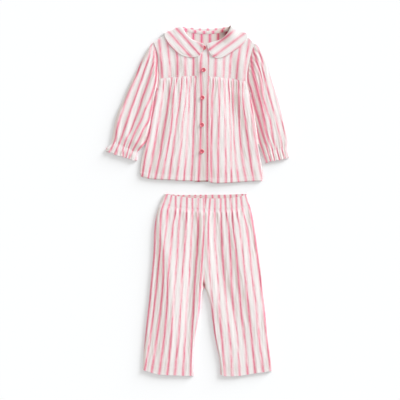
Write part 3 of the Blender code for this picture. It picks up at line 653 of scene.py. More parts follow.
stripesAt = {
    "frontLeft": [
        (258.75, -116.5, -99, -82, -68, -55, -44, -35, -23),
        (223.75, -119, -104, -87, -76.5, -59, -45, -38, -24),
        (178.75, -128, -110, -93, -79.5, -66, -50, -40, -24.5),
        (128.75, -136, -119, -101.5, -84, -73, -56, -42.5, -27.5),
        (78.75, -144.5, -127, -109, -93, -79, -59.5, -45, -29),
        (8.75, -156.5, -141, -123, -106, -88, -69, -51, -33)],
    "frontRight": [
        (253.75, 23, 37, 49, 60, 70.5, 84, 96.5, 107.5),
        (203.75, 19, 37, 50.5, 62, 70.5, 86, 96, 115),
        (141.25, 18, 36, 52, 64, 71.5, 86.5, 103, 122),
        (78.75, 16.5, 34, 53, 66, 75, 91.5, 111, 130),
        (8.75, 17, 33.5, 53.5, 67, 84, 102, 121, 142)],
    "yokeLeft": [
        (348.75, -113, -93, -73, -53, -33),
        (303.75, -108, -88, -68, -48, -28),
        (261, -106, -87, -68, -47, -28)],
    "yokeRight": [
        (348.75, 31, 53.5, 73.5, 91, 112),
        (303.75, 28, 49, 65, 84, 103.5),
        (261, 26, 47, 62, 80, 99)],
    "placket": [
        (343, -1, 7), (325, -6, 8), (311, -8, 9.8), (204, -8, 8), (129, -9.5, 7), (79, -11, 7.7),
        (9, -15, 7)],
    "sleeveLeft": [
        (329, -150, -135, -126, -122, -118, -112),
        (304, -158, -141, -127, -118.5, -112, -106),
        (279, -164.5, -150, -131.5, -120.5, -113, -106),
        (254, -173, -157.5, -139, -121.5, -114, -106),
        (229, -184.5, -166, -148, -128, -118, -108),
        (204, -194.5, -174.5, -157, -137, -124, -112),
        (179, -203, -184, -164.5, -148.5, -133, -120),
        (154, -212, -192, -174, -158, -138.5, -127),
        (129, -218.5, -201, -183.5, -171, -153, -138),
        (104, -223, -209, -196.5, -182, -164.5, -144),
        (79, -234.5, -219, -203, -191.5, -179, -164.5),
        (64, -244, -223.5, -202, -195, -186, -169)],
    "sleeveRight": [
        (329, 96, 105, 113.5, 121, 135, 148.5),
        (304, 97, 107, 116.5, 129, 143.5, 155),
        (279, 95, 107, 120, 137, 146, 161),
        (254, 94, 108, 125, 142, 151, 166),
        (229, 103, 116, 132, 144, 158, 174),
        (204, 109, 121.5, 138, 148, 164, 182),
        (179, 115, 128, 144.5, 155, 171.5, 188.5),
        (154, 123.5, 135.5, 148.5, 163, 179, 193),
        (129, 131, 142, 153, 167, 185, 198.5),
        (104, 137, 150, 160, 171, 190, 204),
        (79, 145, 158, 169, 180.5, 194, 204),
        (61, 151, 162.5, 172, 186, 200, 208.5)],
    "legLeft": [
        (439, -111, -97.5, -84, -71, -57, -43, -29, -15, -1, 13),
        (414, -119, -106, -90, -71, -60, -44, -29, -16, 0, 14),
        (376, -122, -109, -94, -77, -63, -45, -31, -15, 0, 14),
        (314, -124, -110.5, -101, -84, -66, -49, -33.5, -17.5, -3.5, 9),
        (239, -130.5, -117.5, -102.5, -90.5, -73, -55, -38, -23, -8.5, 0),
        (164, -138, -126, -109, -93.5, -77.5, -58.5, -45, -27, -13, -1),
        (89, -148, -136, -119, -100.5, -83, -65, -48, -31, -24, -16),
        (14, -163, -148, -130.5, -111, -91, -72, -52, -33, -27, -15)],
    "legLeftBack": [
        (450, -102, -89, -76.8, -64.3, -51.8, -37.3, -22.3, -8.8, 3.8),
        (0, -163, -148, -130.5, -111, -91, -72, -52, -33, -15)],
    "legRightBack": [
        (450, 3.8, 20.5, 37, 51.5, 65.8, 80.3, 95.8, 105.8),
        (0, 39, 50.5, 70, 88, 108, 126.5, 147, 166)],
    "legRight": [
        (439, 15, 26.5, 41, 52, 66, 80, 92, 107),
        (414, 12.5, 26.5, 41, 54, 69, 81, 96, 114.5),
        (376, 11, 26, 42.5, 60, 72, 88.5, 105, 122),
        (314, 11, 28.5, 45.5, 65, 79, 94.5, 113, 131),
        (239, 16, 34.5, 49.5, 68, 86, 104, 121, 140),
        (164, 21, 38, 57, 73, 92, 111, 130, 149.5),
        (89, 28.5, 44.5, 64.5, 83, 101, 119, 138, 157),
        (14, 39, 50.5, 70, 88, 108, 126.5, 147, 166)],
}


# The back is seen on its inside, in shade: painted shade all over it and in the hollow.
backPanel = {"columns": 70, "rows": 90, "firstStripe": -28.0, "repeat": 20.6, "fuller": 1.3,
             "inset": 1.2, "hemNarrower": 0.99, "hemShorterLeft": 2, "hemShorterRight": 5,
             # painted shade in the hollow under the collar: (x, y, reach across, reach along, how much
             # more shade)
             "paintedShadeHollow": [(50, 371, 14, 12, 1.7), (64, 386, 8, 8, 1.0), (35, 361, 7, 9, 0.7),
                        (28, 368, 14, 16, 0.2)]}


def makeBack(cotton):
    b, own = bodyShape, backPanel
    hem = (moved(b["hemLeft"][::-1], 0, own["hemShorterLeft"])
           + moved(b["hemRight"], 0, own["hemShorterRight"]))
    hem = [(x * own["hemNarrower"], y) for x, y in hem]
    top = b["shoulderLeft"][::-1] + b["backNeck"][1:-1] + b["shoulderRight"]
    left, right = (moved(b["side" + side][::-1] + b["armhole" + side][-2::-1],
                         -sides[side] * own["inset"], 0) for side in sides)
    left[0], right[0] = hem[0], hem[-1]
    left[-1], right[-1] = top[0], top[-1]
    flat = panelPlan(hem, top, left, right, *evenGrid(own["columns"], own["rows"]))
    x, y = flat[..., 0], flat[..., 1]
    stripe, gap = evenStripes(x, own["firstStripe"], own["repeat"])
    piece = sewCloth("topBack", general["topPlace"], np.dstack([flat, backTop(x, y)]), stripe, gap,
                     own["fuller"] + spots(x, y, own["paintedShadeHollow"]), cotton)
    declare(piece, "top_back")


yokes = {
    "columns": 84, "rows": 92, "length": 85.0, "crinkle": 0.032, "seedLeft": 11, "seedRight": 12,
    "stitchIn": 2.2, "stitchDip": 0.08, "stitchWidth": 0.8,
    "lap": 0.06,                       # it laps over the gathered seam
    "edgeDrop": 0.08, "edgeRound": 1.6, "overBack": 1.2, "shoulderFrom": 330, "bandBend": 300,
    "calmer": 0.25, "calmReach": 40, "most": 1.3,
}


def makeYoke(side, cotton, thread):
    b, own = ofSide(bodyShape, side), ofSide(yokes, side)
    seam, neck = b["yokeSeam"], b["neck"]
    u, v = evenGrid(own["columns"], own["rows"])
    besidePlacket = [seam[0], (seam[0][0], own["bandBend"]), neck[0]]
    flat = panelPlan(seam, neck + b["shoulder"][1:], besidePlacket, b["armhole"][::-1], u, v)
    x, y = flat[..., 0], flat[..., 1]
    farDown = 100 * (y < own["shoulderFrom"])      # away from the shoulder's edge
    belowShoulder = lineY(b["shoulder"], x) - y + farDown
    aboveSeam = v * own["length"]
    calm = underCollar(y) * (1 - own["calmer"] * between(aboveSeam, 0, own["calmReach"]))
    stripe, gap = stripePlaces(stripesAt["yoke" + side], x, y)
    height = frontSkin(x, y) + billow(x, y) * calm + own["lap"]
    height += crinkle(stripe, y, own["seed"], own["crinkle"])
    height -= own["stitchDip"] * rib(aboveSeam - own["stitchIn"], own["stitchWidth"])
    height = roundedEdge(height, height - own["edgeDrop"], aboveSeam, own["edgeRound"])
    z = roundedEdge(height, backTop(x, y) + own["overBack"], belowShoulder, b["shoulderRound"])
    points = np.dstack([flat, z])
    piece = sewCloth("yoke" + side, general["topPlace"], points, stripe, gap,
                     paintedLightAndShade(points, most=own["most"]), cotton)
    declare(piece, "yoke_" + side.lower())
    line = surfaceLine(points, np.linspace(0.01, 0.985, 160), own["stitchIn"] / own["length"])
    sewStitches(f"yoke{side}Stitches", general["topPlace"], [line], thread)


skirts = {
    "columns": 112, "rows": 100, "rowPower": 1.15, "length": 258.0,
    "crinkle": 0.045, "seedLeft": 21, "seedRight": 22, "gatherScale": 0.36,
    "tuck": 1.2,                       # its edge is tucked under the yoke's
    "seamDip": 0.2, "seamDipRamp": (2.4, -0.6), "calmBelowSeam": 12, "overBack": 0.4,
    "besideBand": 0.2, "bandEdge": 9.8, "bandWidth": 1.7, "bandRamp": (150, 115),
    "bandInset": 1.2, "bandKnots": (20, 255),
    "hemDepth": 12.0, "hemStep": 0.15, "hemFall": 0.2, "hemFallReach": 40, "hemRound": 1.3,
    "sideFall": 0.2, "sideFallReach": 12,
    "armholeRamp": (228, 240),         # by the armhole the edge is a seam, and stays up
    # painted shade spots: (x, y, reach across, reach along, how much more shade)
    "deepLeft": [(-120, 110, 12, 60, 0.2)],
    "deepRight": [(55, 232, 52, 40, 0.22), (118, 175, 14, 50, 0.15)],
    "gathersLeft": [(-109, 34, 1.0, 2.6), (-101, 46, 1.4, 2.4), (-94, 30, 1.1, 2.0),
                    (-87.5, 60, 1.7, 2.6), (-80, 38, 1.3, 2.0), (-74.5, 66, 1.9, 2.3),
                    (-68, 32, 1.3, 1.8), (-62.5, 52, 1.9, 2.4), (-56, 36, 1.2, 1.9),
                    (-49.5, 60, 1.7, 2.4), (-43.5, 34, 1.4, 1.8), (-38, 50, 1.7, 2.2),
                    (-31, 30, 1.1, 1.8), (-25.5, 42, 1.2, 2.0)],
    "gathersRight": [(16.5, 40, 1.2, 2.0), (22.5, 56, 1.7, 2.3), (29, 34, 1.3, 1.8),
                     (34.5, 58, 1.8, 2.4), (41.5, 40, 1.4, 2.0), (47.5, 62, 1.8, 2.4),
                     (54.5, 34, 1.2, 1.8), (61, 48, 1.5, 2.2), (68, 66, 1.8, 2.4),
                     (75, 38, 1.4, 1.9), (81, 56, 1.7, 2.3), (88.5, 36, 1.3, 2.0),
                     (96, 44, 1.3, 2.4)],
}


def makeSkirt(side, cotton, thread):
    b, own = ofSide(bodyShape, side), ofSide(skirts, side)
    seam, hem, edge, radius = b["yokeSeam"], b["hem"], b["side"], b["edgeRound"]
    middle = moved(b["placket"][::-1], -sides[side] * own["bandInset"], 0)
    width = abs(edge[6][0] - middle[0][0])     # halfway down its side
    bend = 1 - radius * (1 - np.cos(np.radians((75, 60, 45, 30, 15, 0)))) / width
    columns = np.append(np.linspace(0, 1 - 1.3 * radius / width, own["columns"]), bend)
    u, v = np.meshgrid(columns, np.append(np.linspace(0, 0.992, own["rows"] - 4) ** own["rowPower"],
                                          (0.9955, 0.9975, 0.999, 1.0)))
    top = moved(seam, 0, own["tuck"])
    top[-1] = (edge[0][0], edge[0][1] + own["tuck"])
    edge = [top[-1]] + edge[1:]
    lowest, highest = own["bandKnots"]
    middle = [top[0]] + [knot for knot in middle if lowest < knot[1] < highest] + [hem[0]]
    flat = panelPlan(top, hem, middle, edge, u, v)
    x, y = flat[..., 0], flat[..., 1]
    below, aboveHem = lineY(seam, x) - y, y - lineY(hem, x)
    inside = np.abs(x - sideX(edge, np.clip(y, edge[-1][1], edge[0][1])))
    inside += 30 * between(y, *own["armholeRamp"])     # as if far from the edge
    stripe, gap = stripePlaces(stripesAt["front" + side], x, y)
    height = frontSkin(x, y) + billow(x, y)
    height += own["gatherScale"] * gatherHeight(own["gathers"], x, below)
    calm = between(below, 0, own["calmBelowSeam"])
    height += crinkle(stripe, y, own["seed"], own["crinkle"]) * calm
    height -= own["seamDip"] * between(below, *own["seamDipRamp"])
    besideBand = rib(x - own["bandEdge"], own["bandWidth"]) * between(y, *own["bandRamp"])
    height -= own["besideBand"] * besideBand
    height += own["hemStep"] * between(aboveHem, own["hemDepth"] + 1, own["hemDepth"] - 1)
    height -= own["hemStep"] * rib(aboveHem - own["hemDepth"], 1.0)
    low = backTop(x, y) + own["overBack"]
    height -= own["hemFall"] * (height - low) * between(aboveHem, own["hemFallReach"], 0)
    height -= own["sideFall"] * (height - low) * between(inside, own["sideFallReach"], 0)
    height = roundedEdge(height, low, np.maximum(aboveHem, 0) + 0.02, own["hemRound"])
    points = np.dstack([flat, roundedEdge(height, low, inside, radius)])
    piece = sewCloth("front" + side, general["topPlace"], points, stripe, gap,
                     paintedLightAndShade(points, own["deep"]), cotton)
    declare(piece, "front_" + side.lower())
    line = surfaceLine(points, np.linspace(0.0, 0.985, 200),
                       (1 - own["hemDepth"] / own["length"]) ** (1 / own["rowPower"]))
    sewStitches(f"front{side}Stitches", general["topPlace"], [line], thread)


placketParts = {
    "columns": 26, "rows": 170, "width": 29.5, "length": 340.0, "stitchIn": 1.8, "underInset": 1.0,
    # the under placket, lying beneath the band, gets painted shade all over
    "underDrop": 1.5, "underLonger": 2.2, "underPaintedShade": 0.9, "crinkle": 0.032, "seed": 41,
    "edgeDrop": 0.08, "edgeRound": 1.0, "hemRound": 1.3, "hemFallTo": 1.4, "hemFallReach": 40,
    "hemLow": 2.2, "underHemLow": 1.7,
    # painted shade spots, strongest along the stripe by the free edge: (x, y, reach across, reach along,
    # how much more shade)
    "deep": [(7.3, 60, 3.5, 60, 1.0), (7.8, 170, 3.5, 60, 0.45), (-12, 120, 8, 110, 0.25)],
}


def makePlacket(name, node, cotton, inset=0.0, drop=0.0, longer=0.0, fuller=0.0):
    b, own = bodyShape, placketParts
    u, v = np.meshgrid(np.linspace(0, 1, own["columns"]),
                       np.append((0, 0.001, 0.0022, 0.004), np.linspace(0.007, 1, own["rows"] - 4)))
    # rows stand close together at the hem
    left, right = moved(b["placketLeft"], inset, 0), moved(b["placketRight"], -inset, 0)
    for line in (left, right):
        line[0] = (line[0][0], line[0][1] - longer)
    flat = panelPlan([left[0], right[0]], [left[-1], right[-1]], left, right, u, v)
    x, y = flat[..., 0], flat[..., 1]
    z = placketSkin(x, y) - drop
    z = roundedEdge(z, z - own["edgeDrop"], x - x[:, :1] + 0.1, own["edgeRound"])
    z -= skirts["hemFall"] * (z - own["hemFallTo"]) * between(y, own["hemFallReach"], 0)
    hemLow = own["underHemLow"] if drop else own["hemLow"]
    z = roundedEdge(z, hemLow, v * own["length"] + 0.02, own["hemRound"])
    stripe, gap = stripePlaces(stripesAt["placket"], x, y)
    z += crinkle(stripe, y, own["seed"], own["crinkle"])
    points = np.dstack([flat, z])
    piece = sewCloth(name, general["topPlace"], points, stripe, gap,
                     paintedLightAndShade(points, own["deep"]) + fuller, cotton)
    declare(piece, node)
    return points


def makePlackets(cotton, inside, thread):
    own = placketParts
    points = makePlacket("placketBand", "placket", cotton)
    makePlacket("underPlacket", "under_placket", inside, own["underInset"],
                own["underDrop"], own["underLonger"], own["underPaintedShade"])
    stitchIn = own["stitchIn"] / own["width"]
    runs = [surfaceLine(points, across, np.linspace(0.005, 0.995, 400))
            for across in (stitchIn, 1 - stitchIn)]
    sewStitches("placketStitches", general["topPlace"], runs, thread)


# Collar.
collarShape = {
    "neckLeft": [(-3.5, 343.5), (-10, 346), (-19, 349.5), (-30, 354), (-43, 365), (-51, 377),
                 (-61, 389)],
    "edgeLeft": [(-11, 315.5), (-19, 311.5), (-30, 309.5), (-46.5, 311), (-62, 317), (-79, 331),
                 (-88, 340.5), (-95, 352), (-100, 363), (-101.5, 373)],
    "neckRight": [(6.3, 344), (14, 346.5), (23, 349), (36, 353), (49, 361.5), (59, 373),
                  (65.5, 388.5)],
    "edgeRight": [(19.5, 311), (28.5, 308), (41, 308.5), (53.5, 313.5), (64, 320), (74, 326.5),
                  (84, 333), (94, 341.5), (103.5, 351.5), (108, 362), (105.5, 372.5)],
    "backRoll": [(-61, 389), (-50, 387), (-31, 384.7), (-11, 383.3), (3.8, 383.1)],
    "backEdge": [(-101.5, 373), (-90, 352), (-74, 332), (-50, 318), (-25, 312), (3.8, 310)],
    "backMiddle": 4.0, "neckCentreY": 335.0, "stand": 10.5, "height": 6.9, "onPlacket": 0.3,
    "rollRadius": 1.3, "frontRollShare": 0.6,
    "rollTurn": (72, 180),             # degrees, in front and behind
    "edgeFall": 0.5, "edgeFallReach": 12.0, "edgeFallTo": 0.8, "placketRamp": (45, 21), "thick": 0.8,
    "length": 150.0,                   # from the front corner to the shoulder
    "rimRound": 1.2, "rimDrop": 0.5, "stitchIn": 4.0, "stitchDip": 0.2, "stitchWidth": 0.9,
    "stitchRows": (4.6, 63), "crownLeft": 0.1, "crownRight": 0.3, "crownRamp": (1.0, 0.7),
    "paler": 0.88, "standFuller": 0.2, "crinkle": 0.035, "seedLeft": 60, "seedRight": 62,
    # its stripes run aslant: (x share, y share, first stripe, repeat)
    "stripesLeft": (0.745, 0.668, 202.5, 20.3), "stripesRight": (-0.602, 0.798, 255, 19.8),
    "widerLeft": 0.17, "widerRight": 0, "backFirstStripe": 8.25, "backRepeat": 20,
    # (share from the front corner to the shoulder, how far the roll stands up)
    "neckRaiseLeft": [(0, 0.7), (0.3, 0.5), (0.6, 0.5), (1, 0.9)],
    "neckRaiseRight": [(0, 0.8), (0.25, 0.9), (0.45, 1.8), (0.7, 4.8), (1, 8.0)],
    "edgeRaiseLeft": [(0, 0), (0.5, -0.1), (1, -0.2)],
    "edgeRaiseRight": [(0, 0.4), (0.6, 0), (1, 0)],
    "frontRaiseLeft": 0.8, "frontRaiseRight": -0.3, "frontReach": 15.0, "frontRamp": (0.9, 0.4),
    "bowLeft": 3.2, "bowRight": 3.8, "bowTo": 0.22, "fallReach": 0.6,
    "standFoot": 2.6, "standLift": 1.5, "standOnPlacket": 1.6, "standLean": 0.5,
}
standShares = (0, 0.25, 0.5, 0.75)     # across the collar: its stand, its roll, and the rest
rollShares = np.linspace(1, 0.1, 8)
reachShares = np.append(np.linspace(0, 0.95, 24), (0.965, 0.98, 0.99, 1.0))
flatFrom = len(standShares) + len(rollShares)


def collarSection(span, turn):
    # Across the collar from its roll to its outer edge: reach from the roll, depth under its top.
    c = collarShape
    radius = c["rollRadius"] * (c["frontRollShare"] if turn == 0 else 1.0)
    inFront, behind = np.radians(c["rollTurn"])
    angles = (inFront + (behind - inFront) * turn / np.pi) * rollShares
    roundRoll = list(zip(radius * (1 - np.sin(angles)), -radius * (1 - np.cos(angles))))
    return roundRoll + [(radius + (span - radius) * part, 0.0) for part in reachShares]


def frontCollarHeight(c, x, s, share, fromEdge, raised):
    # s is the share from the front corner to the shoulder, share the one from the roll to the edge.
    z = c["height"] + raised + c["onPlacket"] * between(abs(x), *c["placketRamp"])
    z += c["crown"] * np.sin(np.pi * share) ** 0.8 * between(s, *c["crownRamp"])
    fromFront = s * c["length"]
    z += c["frontRaise"] * between(fromFront, c["frontReach"], 0) * between(share, *c["frontRamp"])
    rim = min(fromEdge, fromFront)
    z = roundedEdge(z, z - c["rimDrop"], rim, c["rimRound"])
    z -= c["stitchDip"] * rib(rim - c["stitchIn"], c["stitchWidth"])
    return z - c["edgeFall"] * between(fromEdge, c["edgeFallReach"], 0) * between(s, c["edgeFallTo"], 0)


def makeCollar(side, cotton, thread):
    # Rows run from the front corner over the shoulder fold to the centre back.
    c = ofSide(collarShape, side)
    neck, edge, roll, hidden = (np.array(c[key], float)
                                for key in ("neck", "edge", "backRoll", "backEdge"))
    if side == "Right":                # its hidden half mirrors the left one's
        for line, start in ((roll, neck[-1]), (hidden, edge[-1])):
            line[:, 0] = 2 * c["backMiddle"] - line[:, 0]
            line[0] = start
    stations = [(along(neck, s), along(edge, s), 0.0, s)
                for s in np.append((0, 0.004, 0.01, 0.018), np.linspace(0.03, 0.93, 52))]
    stations += [(neck[-1], edge[-1], np.radians(angle), 1.0) for angle in np.linspace(6, 174, 15)]
    stations += [(along(roll, s), along(hidden, s), np.pi, s) for s in np.linspace(0.08, 1, 24)]
    foldRadius = c["height"] / 2
    line = edge[-1] - neck[-1]
    outwards = np.array((line[1], -line[0])) / np.linalg.norm(line)
    outwards *= np.sign(outwards[1])
    centre = np.array((c["backMiddle"], c["neckCentreY"]))
    grid = []
    for start, end, turn, s in stations:
        span = np.linalg.norm(end - start)
        direction = (end - start) / span
        neckRaise, edgeRaise = (np.interp(s, *np.array(c[key]).T) for key in ("neckRaise", "edgeRaise"))
        row = []
        for reach, depth in collarSection(span, turn):
            share = min(max(reach / span, 0.0), 1.0)
            place = start + reach * direction
            raised = neckRaise * (1 - eased(share / c["fallReach"])) + edgeRaise * eased(share)
            if turn == 0:
                bow = c["bow"] * np.sin(np.pi * share) * between(s, c["bowTo"], 0)
                place = place - np.array((sides[side] * bow, 0.0))
                z = depth + frontCollarHeight(c, place[0], s, share, span - reach, raised)
            elif turn < np.pi:
                radius = foldRadius + 0.5 * raised
                place = place + ((radius + depth) * np.sin(turn) - foldRadius) * outwards
                z = radius + (radius + depth) * np.cos(turn)
            else:
                z = -depth
            row.append((*place, z))
        # the stand, from the neck seam up to the roll
        top = np.array(row[0])
        inwards = centre - top[:2]
        inwards /= np.linalg.norm(inwards)
        lying = eased(turn / np.pi)
        lift = c["standLift"] + c["standOnPlacket"] * between(abs(top[0]), *c["placketRamp"])
        width = c["standLean"] + (c["stand"] - c["standLean"]) * lying
        foot = np.array((*(top[:2] + inwards * width), c["standFoot"] + lift * (1 - lying)))
        grid.append([tuple(foot + (top - foot) * part) for part in standShares] + row)
    points = np.array(grid)
    x, y = points[..., 0], points[..., 1]
    turns = np.array([station[2] for station in stations])[:, None]
    alongX, alongY, firstStripe, repeat = c["stripes"]
    stripe, gap = evenStripes(alongX * x + alongY * y, firstStripe, repeat)
    stripe += c["wider"] * np.clip(stripe, 0, 1) ** 2
    stripe = np.where(turns < np.pi, stripe, (x - c["backFirstStripe"]) / c["backRepeat"])
    rows, columns = stripe.shape
    points[..., 2] += (crinkle(stripe, y, c["seed"], c["crinkle"]) * (turns == 0)
                       * (np.arange(columns) > flatFrom))
    strength = c["paler"] * paintedLightAndShade(points)
    shaded = np.arange(columns) < 6    # the stand and the start of the roll, in the neck's shade: painted shade there
    strength += shaded * (c["standFuller"] + spots(x, y, backPanel["paintedShadeHollow"]))
    piece = sewCloth("collar" + side, general["topPlace"], points, stripe, gap, strength, cotton,
                     c["thick"], up=(20, 20))
    declare(piece, "collar_" + side.lower())
    v = np.linspace(*c["stitchRows"], 300) / (rows - 1)
    lengths = np.linalg.norm(points[:, -1, :2] - points[:, flatFrom, :2], axis=1)
    share = 1 - c["stitchIn"] / lengths[(v * (rows - 1)).astype(int)]
    column = flatFrom + np.interp(share, reachShares, np.arange(len(reachShares)))
    sewStitches(f"collar{side}Stitches", general["topPlace"],
                [surfaceLine(points, column / (columns - 1), v)], thread)


# The binding lies in shade inside the neck: painted shade all over it and in the hollow.
binding = {"width": 8.0, "firstStripe": -46.5, "repeat": 22.6, "thick": 0.5, "above": 1.2,
           "overBack": 0.3, "rounded": 0.35, "fuller": 1.1}


def makeBinding(inside):
    own = binding
    edge = bodyShape["backNeck"][1:-1]
    u, v = evenGrid(90, 10)
    upper = along(moved(edge, 0, own["above"]), u)
    lower = along(moved(edge, 0, own["above"] - own["width"]), u)
    flat = upper * (1 - v[..., None]) + lower * v[..., None]
    x, y = flat[..., 0], flat[..., 1]
    z = backTop(x, y) + own["overBack"] + own["rounded"] * np.sin(np.pi * v) ** 0.5
    stripe, gap = evenStripes(x, own["firstStripe"], own["repeat"])
    piece = sewCloth("neckBinding", general["topPlace"], np.dstack([flat, z]), stripe, gap,
                     own["fuller"] + spots(x, y, backPanel["paintedShadeHollow"]), inside, own["thick"])
    declare(piece, "neck_binding")


# Sleeves and legs.
def roundTube(plans, rows, own, height, closed, hidden):
    # A flattened tube as one strip: from its seam over the front, round the outer edge and back
    # under. Its edges are as deep as own fold from above and twice the radius high. Where closed is
    # 0 the strip is open. hidden is how much of its inner edge lies under another piece, and own
    # edgeFalls are the widths over which it comes down to its outer and its inner edge.
    started = 0.12                     # how far that fall is under way where the fold ends
    (frontPlan, backPlan), (outerFall, innerFall) = plans, own["edgeFalls"]
    radius, fold = own["radius"], own["fold"]
    v = rows[:, None]
    closing = closed(v)
    width = np.linalg.norm(along(frontPlan[3], rows) - along(frontPlan[2], rows), axis=1)[:, None]
    arc = np.radians(np.linspace(4, 76, 7))
    roundIn = fold * (1 - np.cos(arc))
    inner = closing * roundIn + (1 - closing) * fold * np.linspace(0, 0.85, len(arc))
    middle = fold + np.linspace(0, 1, own["columns"]) * (width - 2 * fold)
    distance = np.hstack([inner, middle, width - roundIn[::-1]])
    u = distance / width
    top = panelPlan(*frontPlan, u, v + 0 * u)
    full = height(u, v, distance, top[..., 0], top[..., 1])
    riseOut = eased((width - fold - distance) / outerFall + started)
    riseIn = 1 - closing * (1 - eased((distance - fold - hidden(v)) / innerFall + started))
    z = 2 * radius + (full - 2 * radius) * riseOut * riseIn
    below = np.hstack([width - roundIn, fold + np.linspace(1, 0, own["backColumns"]) * (width - 2 * fold),
                       inner[:, ::-1]])
    under = panelPlan(*backPlan, below / width, v + 0 * below)
    zUnder = np.zeros_like(below)
    for k, rise in enumerate(radius * np.sin(arc)):
        z[:, k] = closing[:, 0] * (radius + rise) + (1 - closing[:, 0]) * z[:, len(arc)]
        z[:, -1 - k] = radius + rise
        zUnder[:, k] = radius - rise
        zUnder[:, -1 - k] = closing[:, 0] * (radius - rise)
    points = np.concatenate([np.dstack([top, z]), np.dstack([under, zUnder])], axis=1)
    return points, top.shape[1]


def tubeStripes(table, points, frontColumns, backTable=None):
    # The stripes carry on round the outer edge to the back, and there to their own places.
    x, y = points[..., 0], points[..., 1]
    stripe, gap = stripePlaces(stripesAt[table], x, y)
    turn = stripe[:, frontColumns - 1:frontColumns]
    if backTable:
        x, y = x[:, frontColumns:], y[:, frontColumns:]
        behind, gap[:, frontColumns:] = stripePlaces(stripesAt[backTable], x, y)
        whole = turn + behind[:, :1]
        near = 1 - between(np.abs(x - x[:, :1]), 2, 16)
        stripe[:, frontColumns:] = np.round(whole) + (whole - np.round(whole)) * near - behind
    else:
        stripe[:, frontColumns:] = 2 * turn - stripe[:, frontColumns:]
    return stripe, gap


